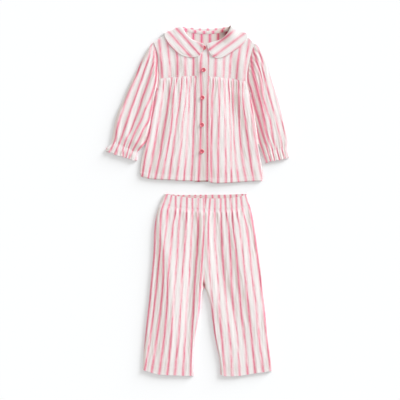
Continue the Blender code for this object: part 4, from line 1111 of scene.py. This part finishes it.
sleeveShape = {
    "columns": 74, "backColumns": 30, "radius": 1.9, "fold": 0.8, "fullest": 1.55,
    "puff": 3.4, "puffRamps": ((0.8, -0.004, 0.035), (0.3, 0.02, 0.12)),
    "slopeLeft": 1.5, "slopeRight": 0.3,
    "elastic": 0.90,                   # its share of the length, as all the ramps are
    "elasticDip": 0.12, "elasticWidth": 0.03, "frillGathers": 1.2, "calmBelowCap": 0.08,
    "calmAboveElastic": 0.12, "crinkleRamp": (0, 0.06), "cuffFall": 0.15, "cuffFallTo": 2.0,
    "cuffRamp": (0.93, 1.0), "hiddenRamps": ((0, 0.1), (0.8, 0.68)),
    "gatherScale": 0.32, "cuffScale": 0.31, "crinkle": 0.045, "seedLeft": 31, "seedRight": 32,
    "capTuck": 1.6, "edgeHidden": 8.0, "edgeFallsLeft": (6.0, 10.0), "edgeFallsRight": (6.0, 20.0),
    "capLeft": [(-120.4, 231), (-116.2, 247), (-114.9, 256.6), (-113.7, 266), (-114.7, 284),
                (-116.7, 312), (-120.7, 329), (-128.2, 348.4)],
    "outerLeft": [(-128.2, 348.4), (-138, 337), (-145, 325), (-156, 304), (-168, 279), (-181, 254),
                  (-193, 229), (-204, 201), (-215, 178), (-223, 154), (-228, 129), (-232, 106),
                  (-234, 94), (-240, 88), (-246, 82), (-246, 75)],
    "innerLeft": [(-120.4, 231), (-121.8, 227), (-125.4, 208.5), (-127, 188), (-128, 168),
                  (-130.5, 143), (-133.5, 123), (-138, 108), (-144.6, 98), (-153, 87.5),
                  (-161.5, 80), (-168, 73), (-169.5, 64), (-169, 52)],
    "cuffLeft": [(-169, 52), (-184, 55), (-192, 59), (-202, 61), (-214, 65), (-223, 67),
                 (-232, 72), (-246, 75)],
    "capRight": [(110.2, 231), (107.2, 242), (106.7, 249.6), (106.9, 266), (109.7, 289),
                 (114.7, 311), (119.7, 329), (126.2, 346.4)],
    "outerRight": [(126.2, 346.4), (137, 337), (145, 326), (152, 311), (158, 294), (163, 276),
                   (169, 256), (176, 234), (184, 209), (191, 181), (198, 159), (205, 136),
                   (208, 114), (209, 96), (207, 84), (209, 74), (211, 60)],
    "innerRight": [(110.2, 231), (111.8, 227), (116, 207.5), (119, 188), (121.2, 168),
                   (123.8, 143), (126.8, 118), (131, 98.5), (135.8, 88.5), (141, 76),
                   (146, 63.5), (152, 45.3)],
    "cuffRight": [(152, 45.3), (164, 50), (176, 52), (188, 54), (201, 57), (211, 60)],
    "creasesLeft": [
        [(330, -140, 0.9), (280, -165, 1.4), (254, -179, 1.5), (204, -201, 1.5), (154, -219, 1.5),
         (104, -229, 1.2), (88, -238, 0.8)],
        [(330, -137, 1.5), (280, -161, 2.2), (254, -175, 2.4), (229, -187, 2.4), (204, -197.5, 2.4),
         (179, -207.5, 2.4), (154, -215.5, 2.2), (129, -220, 2.0), (104, -224, 1.6), (88, -233, 1.0)],
        [(330, -134, 1.0), (280, -152, 0.6), (254, -164, 0.4), (229, -175, 0.2), (204, -185, 0.1),
         (179, -195, 0.1), (154, -203, 0.2), (129, -208, 0.3), (104, -212, 0.4), (88, -222, 0.4)],
        [(330, -132, 1.3), (280, -145, 1.6), (254, -156, 1.6), (229, -166, 1.6), (204, -175, 1.6),
         (179, -184, 1.7), (154, -191, 1.8), (129, -196, 1.6), (104, -201, 1.2), (88, -211, 0.8)],
        [(330, -129, 0.9), (280, -138, 0.3), (254, -149, -0.1), (229, -159, -0.3), (204, -168, -0.4),
         (179, -176, -0.3), (154, -182, -0.2), (129, -188, 0), (104, -193, 0.2), (88, -203, 0.3)],
        [(330, -126, 1.2), (280, -127, 2.0), (254, -132, 2.4), (229, -139, 2.8), (204, -146, 3.0),
         (179, -151, 3.0), (154, -157, 2.8), (129, -164, 2.4), (104, -174, 1.8), (88, -187, 1.0)],
        [(330, -122, 0.6), (280, -119, 0.8), (254, -120, 0.8), (229, -127, 0.6), (204, -134, 0.5),
         (154, -140, 0.5), (129, -146, 0.5), (104, -154, 0.5), (88, -170, 0.4)],
    ],
    "creasesRight": [
        [(330, 122, 0.8), (289, 114, 0.4), (254, 112, 0.2), (229, 117, 0), (204, 123, -0.2),
         (154, 130, -0.2), (129, 133, 0), (104, 140, 0.2), (88, 148, 0.3)],
        [(330, 130, 1.2), (289, 133, 1.6), (254, 138, 1.8), (229, 142, 2.0), (204, 145, 2.1),
         (179, 148, 2.2), (154, 152, 2.2), (129, 157, 2.0), (104, 161, 1.6), (88, 166, 1.0)],
        [(330, 134, 1.1), (289, 140, 1.4), (254, 145, 1.6), (229, 149, 1.8), (204, 152, 2.0),
         (179, 156, 2.0), (154, 161, 2.0), (129, 166, 1.8), (104, 170, 1.4), (88, 176, 0.9)],
        [(330, 137, 1.2), (289, 145, 1.6), (254, 151, 1.9), (229, 156, 2.1), (204, 161, 2.2),
         (179, 166, 2.2), (154, 172, 2.2), (129, 178, 2.0), (104, 183, 1.5), (88, 188, 0.9)],
        [(330, 140, 0.6), (289, 156, 0.6), (254, 164, 0.6), (229, 172, 0.6), (204, 179, 0.6),
         (154, 193, 0.6), (129, 199, 0.6), (104, 203, 0.5), (88, 205, 0.4)],
    ],
    # painted shade where it dips beside the body: (x, y, reach across, reach along, how much more shade)
    "deepLeft": [(-120, 316, 6, 22, 0.7), (-119, 280, 6, 24, 1.3), (-119, 240, 6, 22, 0.9),
                 (-127, 205, 8, 20, 0.8), (-136, 175, 9, 20, 0.6), (-142, 140, 9, 20, 0.7),
                 (-152, 108, 9, 16, 1.2), (-160, 84, 8, 12, 1.1)],
    "deepRight": [(118, 300, 11, 34, 0.7), (122, 250, 12, 34, 0.75), (133, 190, 12, 38, 0.7),
                  (142, 130, 10, 30, 0.6), (150, 90, 9, 20, 0.3)],
    # (x, y, reach across, reach along, how much wider the stripes lie open)
    "openRight": [(122, 290, 18, 46, 0.56), (132, 225, 17, 46, 0.64), (142, 165, 15, 42, 0.56),
                  (148, 115, 13, 32, 0.42)],
    "openLeft": [(-120, 300, 8, 60, 0.35), (-130, 200, 9, 50, 0.3)],
    "scallops": [(7.4, 0.6, 0.7), (11.7, 2.1, 0.45), (4.3, 4.0, 0.3)],   # (waves, start, depth)
    "capGathers": [(0.36, 0.20, 0.9, 0.03), (0.46, 0.32, 1.3, 0.03), (0.55, 0.22, 1.1, 0.025),
                   (0.64, 0.36, 1.5, 0.032), (0.73, 0.26, 1.2, 0.028), (0.82, 0.34, 1.3, 0.03),
                   (0.91, 0.24, 1.0, 0.03)],
    "cuffGathers": [(0.07, 0.10, 0.8, 0.030), (0.15, 0.16, 1.3, 0.034), (0.24, 0.12, 1.0, 0.028),
                    (0.33, 0.20, 1.6, 0.036), (0.43, 0.13, 1.1, 0.030), (0.51, 0.19, 1.5, 0.034),
                    (0.61, 0.14, 1.2, 0.030), (0.70, 0.20, 1.6, 0.036), (0.80, 0.13, 1.1, 0.030),
                    (0.89, 0.16, 1.2, 0.034)],
}


def makeSleeve(side, cotton, thread):
    own = ofSide(sleeveShape, side)
    name = "sleeve" + side

    def height(u, v, distance, x, y):
        elastic = own["elastic"]
        total = own["puff"] + sum(rise * between(v, *ramp) for rise, *ramp in own["puffRamps"])
        calm = between(v, 0, own["calmBelowCap"]) * between(v, elastic, elastic - own["calmAboveElastic"])
        total = total + (own["slope"] * (1 - u) + creaseHeight(own["creases"], x, y)) * calm
        for place, length, high, width in own["capGathers"]:
            reach = eased(v / 0.02) * (1 - eased(v / length))
            total = total + own["gatherScale"] * high * reach * rib(u - place, width)
        away = np.abs(v - elastic)
        up = v < elastic
        for place, length, high, width in own["cuffGathers"]:
            reach = np.where(up, 1 - eased(away / length), own["frillGathers"])
            reach = (0.55 + 0.45 * eased(away / 0.03)) * reach
            wide = np.where(up, width, width * (1 + 3.0 * away))
            total = total + own["cuffScale"] * high * reach * rib(u - place, wide)
        total = total - own["elasticDip"] * rib(v - elastic, own["elasticWidth"])
        stripe = stripePlaces(stripesAt[name], x, y)[0]
        uneven = crinkle(stripe, y, own["seed"], own["crinkle"])
        total = total + uneven * between(v, *own["crinkleRamp"])
        return total - own["cuffFall"] * (total - own["cuffFallTo"]) * between(v, *own["cuffRamp"])

    def underBody(v):
        start, end = own["hiddenRamps"]
        return own["edgeHidden"] * between(v, *start) * between(v, *end)

    tucked = moved(own["cap"], -sides[side] * own["capTuck"], 0)
    layer = (tucked, own["cuff"], [tucked[0]] + own["inner"][1:], [tucked[-1]] + own["outer"][1:])
    rows = np.concatenate([np.linspace(0, 0.12, 26)[:-1], np.linspace(0.12, 0.82, 70),
                           np.linspace(0.83, 1, 34)])
    points, frontColumns = roundTube((layer, layer), rows, own, height, np.ones_like, underBody)
    x, y = points[..., 0], points[..., 1]
    columns = points.shape[1]
    stripe, gap = tubeStripes(name, points, frontColumns)
    for spot in own["open"]:
        gap = gap * (1 - spots(x, y, [spot]))
    strength = paintedLightAndShade(points, own["deep"], fullest=own["fullest"])
    strength[:, frontColumns:] = 1.0
    u = np.append(np.linspace(0, 1, frontColumns), np.linspace(1, 0, columns - frontColumns))
    frill = sum(depth * np.sin(2 * np.pi * waves * u + start) for waves, start, depth in own["scallops"])
    fallen = points[-1, frontColumns // 2, :2] - points[-20, frontColumns // 2, :2]
    fallen /= np.linalg.norm(fallen)
    points[..., :2] += between(rows, own["elastic"], 1)[:, None, None] * frill[:, None] * fallen
    piece = sewCloth(name, general["topPlace"], points, stripe, gap, strength, cotton, up=(9, 12))
    declare(piece, "sleeve_" + side.lower())
    line = surfaceLine(points, np.linspace(12, frontColumns - 13, 240) / (columns - 1),
                       rowShare(rows, own["elastic"]))
    sewStitches(name + "Stitches", general["topPlace"], [line], thread)


legShape = {
    "columns": 120, "backColumns": 56, "radius": 1.8, "fold": 0.9, "height": 4.4, "length": 440.0,
    "foldScale": 1.12, "foldRamp": (0.02, 0.10), "crotchRamp": (0.48, 0.51),
    "casingSeam": 0.065, "hemSeam": 0.957,     # shares of the length
    "casingRise": 0.05, "casingRiseReach": 0.012, "casingDip": 0.06, "casingDipWidth": 0.0045,
    "casingGathers": 0.26, "casingGatherReach": 6.0, "crinkleRamp": (0.06, 0.10),
    "casingEven": (2, 6),              # no painted light or shade around the seam: (how far below it, reach)
    "edgeDip": 0.15, "edgeDipWidth": 1.6, "hemFall": 0.2, "hemFallTo": 2.0, "hemRamp": (0.92, 1.0),
    # painted shade on the back's waist strip, seen inside above the front's edge
    "waistFuller": 0.45, "waistRamp": (425, 442),
    "crinkle": 0.045, "seedLeft": 51, "seedRight": 52, "edgeFalls": (5.0, 4.5), "gatherScale": 0.6,
    "rise": [(2, 443.3), (1.4, 380), (0.8, 300), (0.3, 245), (0.1, 228), (0, 221)],
    "waistLeft": [(2, 443.3), (-15, 443.5), (-35, 444.5), (-53, 446.5), (-70, 449), (-85, 451.5),
                  (-99, 454)],
    "waistRight": [(2, 443.3), (20, 442.8), (40, 442.8), (60, 443.5), (80, 446), (95, 449.3),
                   (109, 453)],
    "backWaistLeft": [(2, 452), (-20, 451.8), (-40, 451.5), (-60, 451.5), (-80, 452.5), (-99, 454)],
    "backWaistRight": [(2, 452), (20, 452), (40, 452), (60, 452.3), (80, 453), (95, 454), (109, 453)],
    "outerLeft": [(-99, 454), (-105, 442), (-110.5, 429), (-115.5, 415), (-119, 402), (-122, 385),
                  (-125, 364), (-126.5, 339), (-128, 301), (-131, 264), (-135, 226), (-138, 189),
                  (-142, 159), (-145, 126), (-148, 89), (-151, 59), (-152.5, 34), (-153, 14)],
    "outerRight": [(109, 453), (112, 439), (117, 424), (121, 406), (126, 386), (130, 359),
                   (133, 336), (137, 314), (141, 289), (145, 261), (147.5, 229), (150.5, 194),
                   (154, 164), (157, 134), (160.5, 104), (164, 79), (167, 54), (169.5, 29),
                   (170, 12)],
    "inseamLeft": [(-4, 211), (-6, 196), (-8, 179), (-10, 161), (-12, 144), (-13.5, 126),
                   (-17, 109), (-21, 91), (-24, 69), (-25.5, 44), (-26, 19), (-25, 0)],
    "inseamRight": [(5, 211), (10, 196), (14, 181), (17, 164), (19, 144), (22, 126), (24, 109),
                    (28, 89), (32, 69), (36.5, 49), (39.5, 26), (41, 3)],
    "hemLeft": [(-25, 0), (-48, 0), (-73, 1), (-98, 2), (-110, 3), (-123, 5), (-135, 9), (-153, 14)],
    "hemRight": [(41, 3), (52, -1), (70, -1), (90, 0), (108, 3), (127, 6), (148, 9), (170, 12)],
    "creasesLeft": [
        [(439, -104, 0.3), (401, -117, 0.3), (326, -126, 0.2), (251, -131, 0.1), (176, -139, 0),
         (101, -146, 0.1), (26, -152, 0.2)],
        [(439, -98, 0.6), (401, -104, 1.9), (351, -106, 3.0), (289, -90, 4.7), (226, -83, 5.9),
         (164, -80, 5.9), (101, -80, 4.5), (26, -86, 1.5)],
        [(439, -88, 0.3), (401, -87, 0.9), (351, -88, 1.9), (289, -72, 3.0), (226, -70, 4.2),
         (164, -72, 4.7), (101, -74, 3.6), (26, -82, 1.3)],
        [(439, -78, 0.5), (401, -76, 1.1), (351, -74, 1.8), (289, -66, 2.6), (226, -65, 3.7),
         (164, -68, 4.3), (101, -71, 3.3), (26, -78, 1.2)],
        [(439, -67, 0.3), (401, -61, 0.5), (351, -59, 1.3), (289, -60, 2.2), (226, -61, 3.3),
         (164, -65, 4.0), (101, -68, 3.0), (26, -74, 1.1)],
        [(439, -54, 0.6), (401, -48, 1.6), (351, -50, 2.2), (289, -54, 2.4), (226, -57, 3.0),
         (164, -61, 3.7), (101, -65, 2.7), (26, -70, 1.0)],
        [(439, -38, 0.3), (401, -30, 0), (351, -28, -0.3), (289, -34, -0.3), (226, -38, -0.3),
         (164, -42, -0.2), (101, -44, 0.2), (26, -46, 0.4)],
        [(439, -22, 0.6), (401, -8, 2.0), (351, -8, 2.9), (289, -11, 3.1), (226, -16, 3.1),
         (164, -22, 2.8), (101, -30, 1.7), (26, -35, 0.6)],
        [(439, 0, 0.5), (401, 1, 2.1), (364, 1, 3.1), (326, 1, 3.5), (289, 0, 3.4), (251, -2, 2.8),
         (214, -7, 1.2), (139, -13, 0.6), (26, -27, 0.2)],
    ],
    "creasesRight": [
        [(439, 2, 0.5), (401, 2, 2.1), (364, 2, 3.1), (326, 2, 3.5), (289, 2, 3.4), (251, 2, 2.8),
         (214, 6, 2.2), (139, 21, 1.6), (26, 40, 0.6)],
        [(439, 8, 0.5), (401, 8, 2.1), (351, 8, 3.4), (289, 8, 3.7), (226, 14, 2.9), (164, 37, 2.6),
         (101, 60, 2.1), (39, 78, 1.2)],
        [(439, 20, 0.3), (401, 27, 0.2), (351, 30, -0.1), (289, 36, -0.3), (226, 50, -0.3),
         (164, 74, -0.1), (101, 93, 0.1), (39, 107, 0.3)],
        [(439, 46, 0.4), (401, 46, 1.0), (351, 50, 1.7), (289, 56, 1.7), (226, 68, 1.4),
         (164, 88, 1.1), (101, 104, 0.7), (39, 114, 0.4)],
        [(439, 54, 0.4), (401, 55, 0.9), (351, 57, 1.6), (289, 62, 1.7), (226, 75, 1.5),
         (164, 95, 1.2), (101, 110, 0.8), (39, 118, 0.4)],
        [(439, 72, 0.6), (401, 76, 2.1), (351, 75, 3.6), (289, 85, 4.1), (226, 98, 3.7),
         (164, 114, 2.9), (101, 123, 1.9), (39, 130, 0.9)],
        [(439, 103, 0.3), (401, 118, 0.3), (364, 124, 0.3), (289, 137, 0.3), (214, 146, 0.3),
         (139, 154, 0.3), (64, 163, 0.3), (26, 167, 0.3)],
    ],
    # painted shade spots, with less painted shade where below zero: (x, y, reach across, reach along, how
    # much more shade)
    "deepLeft": [(-1, 228, 3.5, 8, 1.9), (-123, 345, 6, 40, -0.5), (-130, 260, 6, 50, -0.5),
                 (-115, 290, 6, 60, 0.4), (-18, 330, 6, 60, 0.3),
                 (-142, 150, 6, 50, -0.35), (-5, 320, 7, 90, 0.3), (-11, 185, 7, 50, 0.6),
                 (-33, 50, 5, 40, 0.35), (-93, 395, 6, 22, 0.4), (-86, 300, 6, 26, 0.3)],
    "deepRight": [(1, 228, 3, 6, 1.2), (90, 70, 60, 80, -0.2), (118, 395, 8, 36, 0.6),
                  (127, 325, 8, 40, 0.7), (139, 240, 8, 50, 0.65), (151, 140, 8, 50, 0.6),
                  (161, 45, 8, 40, 0.5), (17, 190, 7, 60, -0.6), (30, 90, 7, 50, -0.4),
                  (16, 370, 14, 60, 0.3), (108, 345, 7, 40, 0.35), (135, 105, 6, 26, 0.35)],
    # puckers below the casing: (place across, length, height, width)
    "gathersLeft": [(-89.5, 30, 1.2, 3.2), (-80, 22, 0.8, 3), (-69, 34, 1.3, 3.4), (-58, 24, 0.9, 3),
                    (-49, 20, 0.8, 2.6), (-40.5, 40, 1.5, 3.2), (-28.5, 26, 1.0, 2.8),
                    (-18.5, 44, 1.4, 2.8), (-7, 36, 1.3, 2.4)],
    "gathersRight": [(6, 34, 1.2, 2.6), (15, 24, 0.8, 2.6), (23.5, 20, 0.9, 2.6), (35.5, 42, 1.4, 3),
                     (46, 22, 0.9, 2.8), (57.5, 46, 1.6, 2.8), (64.5, 30, 1.3, 2.4),
                     (73, 40, 1.4, 2.8), (85, 32, 1.3, 3), (97, 24, 1.0, 3)],
}


def makeLeg(side, cotton, thread):
    own = ofSide(legShape, side)
    name, seam = "leg" + side, own["casingSeam"]

    def height(u, v, distance, x, y):
        below = (v - seam) * own["length"]
        folds = own["foldScale"] * creaseHeight(own["creases"], x, y) * between(v, *own["foldRamp"])
        total = own["height"] + folds
        total = total + own["gatherScale"] * gatherHeight(own["gathers"], x, below)
        inCasing = np.minimum(-below, own["casingGatherReach"])
        total = total + own["casingGathers"] * gatherHeight(own["gathers"], x, inCasing) * (below < 0)
        reach = own["casingRiseReach"]
        total = total + own["casingRise"] * between(v, seam + reach, seam - reach)
        total = total - own["casingDip"] * rib(v - seam, own["casingDipWidth"])
        stripe = stripePlaces(stripesAt[name], x, y)[0]
        uneven = crinkle(stripe, y, own["seed"], own["crinkle"])
        total = total + uneven * between(v, *own["crinkleRamp"])
        total = total - own["edgeDip"] * rib(distance, own["edgeDipWidth"])
        return total - own["hemFall"] * (total - own["hemFallTo"]) * between(v, *own["hemRamp"])

    inner = own["rise"] + own["inseam"]
    frontPlan = ([inner[0]] + own["waist"][1:], own["hem"], inner, own["outer"])
    backPlan = (own["backWaist"], own["hem"], [own["backWaist"][0]] + inner[1:], own["outer"])
    rows = np.concatenate([np.linspace(0, 0.2, 48)[:-1], np.linspace(0.2, 1, 120)])
    points, frontColumns = roundTube((frontPlan, backPlan), rows, own, height,
                                     lambda v: between(v, *own["crotchRamp"]), np.zeros_like)
    stripe, gap = tubeStripes(name, points, frontColumns, name + "Back")
    strength = paintedLightAndShade(points, own["deep"])
    belowSeam, reach = own["casingEven"]
    even = rib((rows[:, None] - seam) * own["length"] - belowSeam, reach)
    strength += (1 - strength) * even
    # the back's waist strip, seen inside above the front's edge, gets painted shade
    behind = between(points[:, frontColumns:, 1], *own["waistRamp"])
    strength[:, frontColumns:] = 1 + own["waistFuller"] * behind
    piece = sewCloth(name, general["trouserPlace"], points, stripe, gap, strength, cotton, up=(9, 12))
    declare(piece, "leg_" + side.lower())
    across = np.linspace(9, frontColumns - 10, 360) / (points.shape[1] - 1)
    lines = [surfaceLine(points, across, rowShare(rows, v)) for v in (seam, own["hemSeam"])]
    sewStitches(name + "Stitches", general["trouserPlace"], lines, thread)


# Buttons.
buttons = {
    "places": [(-1.6, 333.5), (-2.5, 278.5), (-5.5, 209), (-6.5, 141), (-6.5, 75)],
    "thick": 2.1, "sunk": 0.2, "steps": 56, "threadReach": 1.7, "threadOver": 0.05,
    "holeRadius": 0.75, "holePlace": 1.35, "holeDepth": 1.1, "holeEdge": 0.15,
    # (radius, share of its thickness) from the middle over the rim, and on under it
    "top": [(0, 0.55), (2.5, 0.55), (3.2, 0.72), (3.9, 0.94), (4.5, 1.0), (4.9, 0.93), (5.15, 0.75),
            (5.2, 0.55)],
    "under": [(5.1, 0.3), (4.7, 0.1), (4.0, 0.0)],
}


def makeButton(number, place, plastic, thread):
    own = buttons
    x, y = place
    base = placketSkin(np.array([x]), np.array([y]))[0] - own["sunk"]
    topRadii = np.append(np.linspace(0.12, 2.5, 20), np.linspace(2.6, 5.2, 18))
    underRadii, underShares = zip(*own["under"])
    radii = np.append(topRadii, underRadii)[:, None]
    shares = np.append(np.interp(topRadii, *np.array(own["top"]).T), underShares)[:, None]
    steps, last = own["steps"], len(radii) - 1
    turns = np.linspace(0, 2 * np.pi, steps, endpoint=False)
    px, py = radii * np.cos(turns), radii * np.sin(turns)
    edge = own["holeRadius"] + own["holeEdge"], own["holeRadius"] - own["holeEdge"]
    holes = [between(np.hypot(px - own["holePlace"] * a, py - own["holePlace"] * b), *edge)
             for a in (-1, 1) for b in (-1, 1)]
    pz = shares * own["thick"] - own["holeDepth"] * np.max(holes, axis=0)
    faces = []
    for ring in range(0, last * steps, steps):
        faces += [(ring + k, ring + k + steps, ring + (k + 1) % steps + steps, ring + (k + 1) % steps)
                  for k in range(steps)]
    faces.append(tuple(range(steps)))
    faces.append(tuple(range((last + 1) * steps - 1, last * steps - 1, -1)))
    piece = newPiece(f"button{number}", general["topPlace"], np.dstack([px + x, py + y, pz + base]),
                     faces, plastic)
    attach(piece, "root")
    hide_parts(f"button_{number}")
    top = base + own["top"][0][1] * own["thick"] + own["threadOver"]
    up = np.array([(0.0, 0.0, 1.0)] * 2)
    runs = [(np.array([(x + own["holePlace"] * way, y - own["threadReach"], top),
                       (x + own["holePlace"] * way, y + own["threadReach"], top)]), up)
            for way in (-1, 1)]
    sewStitches(f"button{number}Thread", general["topPlace"], runs, thread)


# Light, floor and camera.
studio = {
    "cameraPlace": (6.0, 1.9, 3000.0), "lens": 108.0, "sensor": 36.0,
    "keyRise": 9.5,           # degrees above the floor
    "keySoftness": 26.0, "keyPower": 6.0, "keyColour": (0.985, 1.0, 1.015),
    "skyPower": 0.725, "skyColour": (1.0, 0.978, 0.960),
    "floorColour": (0.955, 0.975, 0.99), "floorReach": 4000.0, "floorDrop": 0.3,
}


def makeStudio():
    s = studio
    scene = bpy.context.scene
    lens = bpy.data.cameras.new("camera")
    lens.lens = s["lens"]
    lens.sensor_width = s["sensor"]
    scene.camera = addObject("camera", lens)
    scene.camera.location = [part * general["mm"] for part in s["cameraPlace"]]
    lamp = bpy.data.lights.new("key", "SUN")
    lamp.energy = s["keyPower"]
    lamp.color = s["keyColour"]
    lamp.angle = np.radians(s["keySoftness"])
    turn, rise = np.radians(general["lightFrom"]), np.radians(s["keyRise"])
    towards = Vector((np.cos(turn) * np.cos(rise), np.sin(turn) * np.cos(rise), np.sin(rise)))
    addObject("key", lamp).rotation_euler = towards.to_track_quat("Z", "Y").to_euler()
    world = bpy.data.worlds.new("sky")
    world.use_nodes = True
    join(world.node_tree, world.node_tree.nodes["Background"],
         {"Color": (*s["skyColour"], 1), "Strength": s["skyPower"]})
    scene.world = world
    scene.view_settings.view_transform = "Standard"
    paint = newMaterial("paleFloor", {"Base Color": (*s["floorColour"], 1), "Roughness": 1.0,
                                      "Specular IOR Level": 0.0})[0]
    far = s["floorReach"]
    floor = newPiece("floor", (0, 0), [(-far, -far, 0), (far, -far, 0), (far, far, 0), (-far, far, 0)],
                     [(0, 1, 2, 3)], paint)
    floor.location.z = -s["floorDrop"] * general["mm"]


def makeTop(cotton, inside, litCollarCotton, plastic, thread, buttonThread):
    makeBack(inside)
    for make in (makeYoke, makeSkirt):
        for side in sides:
            make(side, cotton, thread)
    print("body of the top sewn")
    makePlackets(cotton, inside, thread)
    for side in sides:
        makeCollar(side, litCollarCotton, thread)
    makeBinding(inside)
    print("plackets, collar and neck binding sewn")
    for side in sides:
        makeSleeve(side, cotton, thread)
    for number, place in enumerate(buttons["places"], 1):
        makeButton(number, place, plastic, buttonThread)
    print("sleeves and buttons sewn on")


def makeTrousers(cotton, thread):
    for side in sides:
        makeLeg(side, cotton, thread)
    print("trousers sewn")


makeStudio()
groups = makeStripeGroup(), makeWeaveGroup()
cotton = cottonMaterial("stripedCotton", cottonLook, *groups)
inside = cottonMaterial("stripedCottonInside", insideLook, *groups)
litCollarCotton = cottonMaterial("stripedCottonLitCollar", litCollarLook, *groups)
thread = plainMaterial("whiteThread")
plastic = plainMaterial("coralPlastic", colour=(0.74, 0.13, 0.18), roughness=0.3, coat=0.3)
buttonThread = plainMaterial("coralThread", colour=(0.72, 0.16, 0.2))
makeTop(cotton, inside, litCollarCotton, plastic, thread, buttonThread)
makeTrousers(cotton, thread)
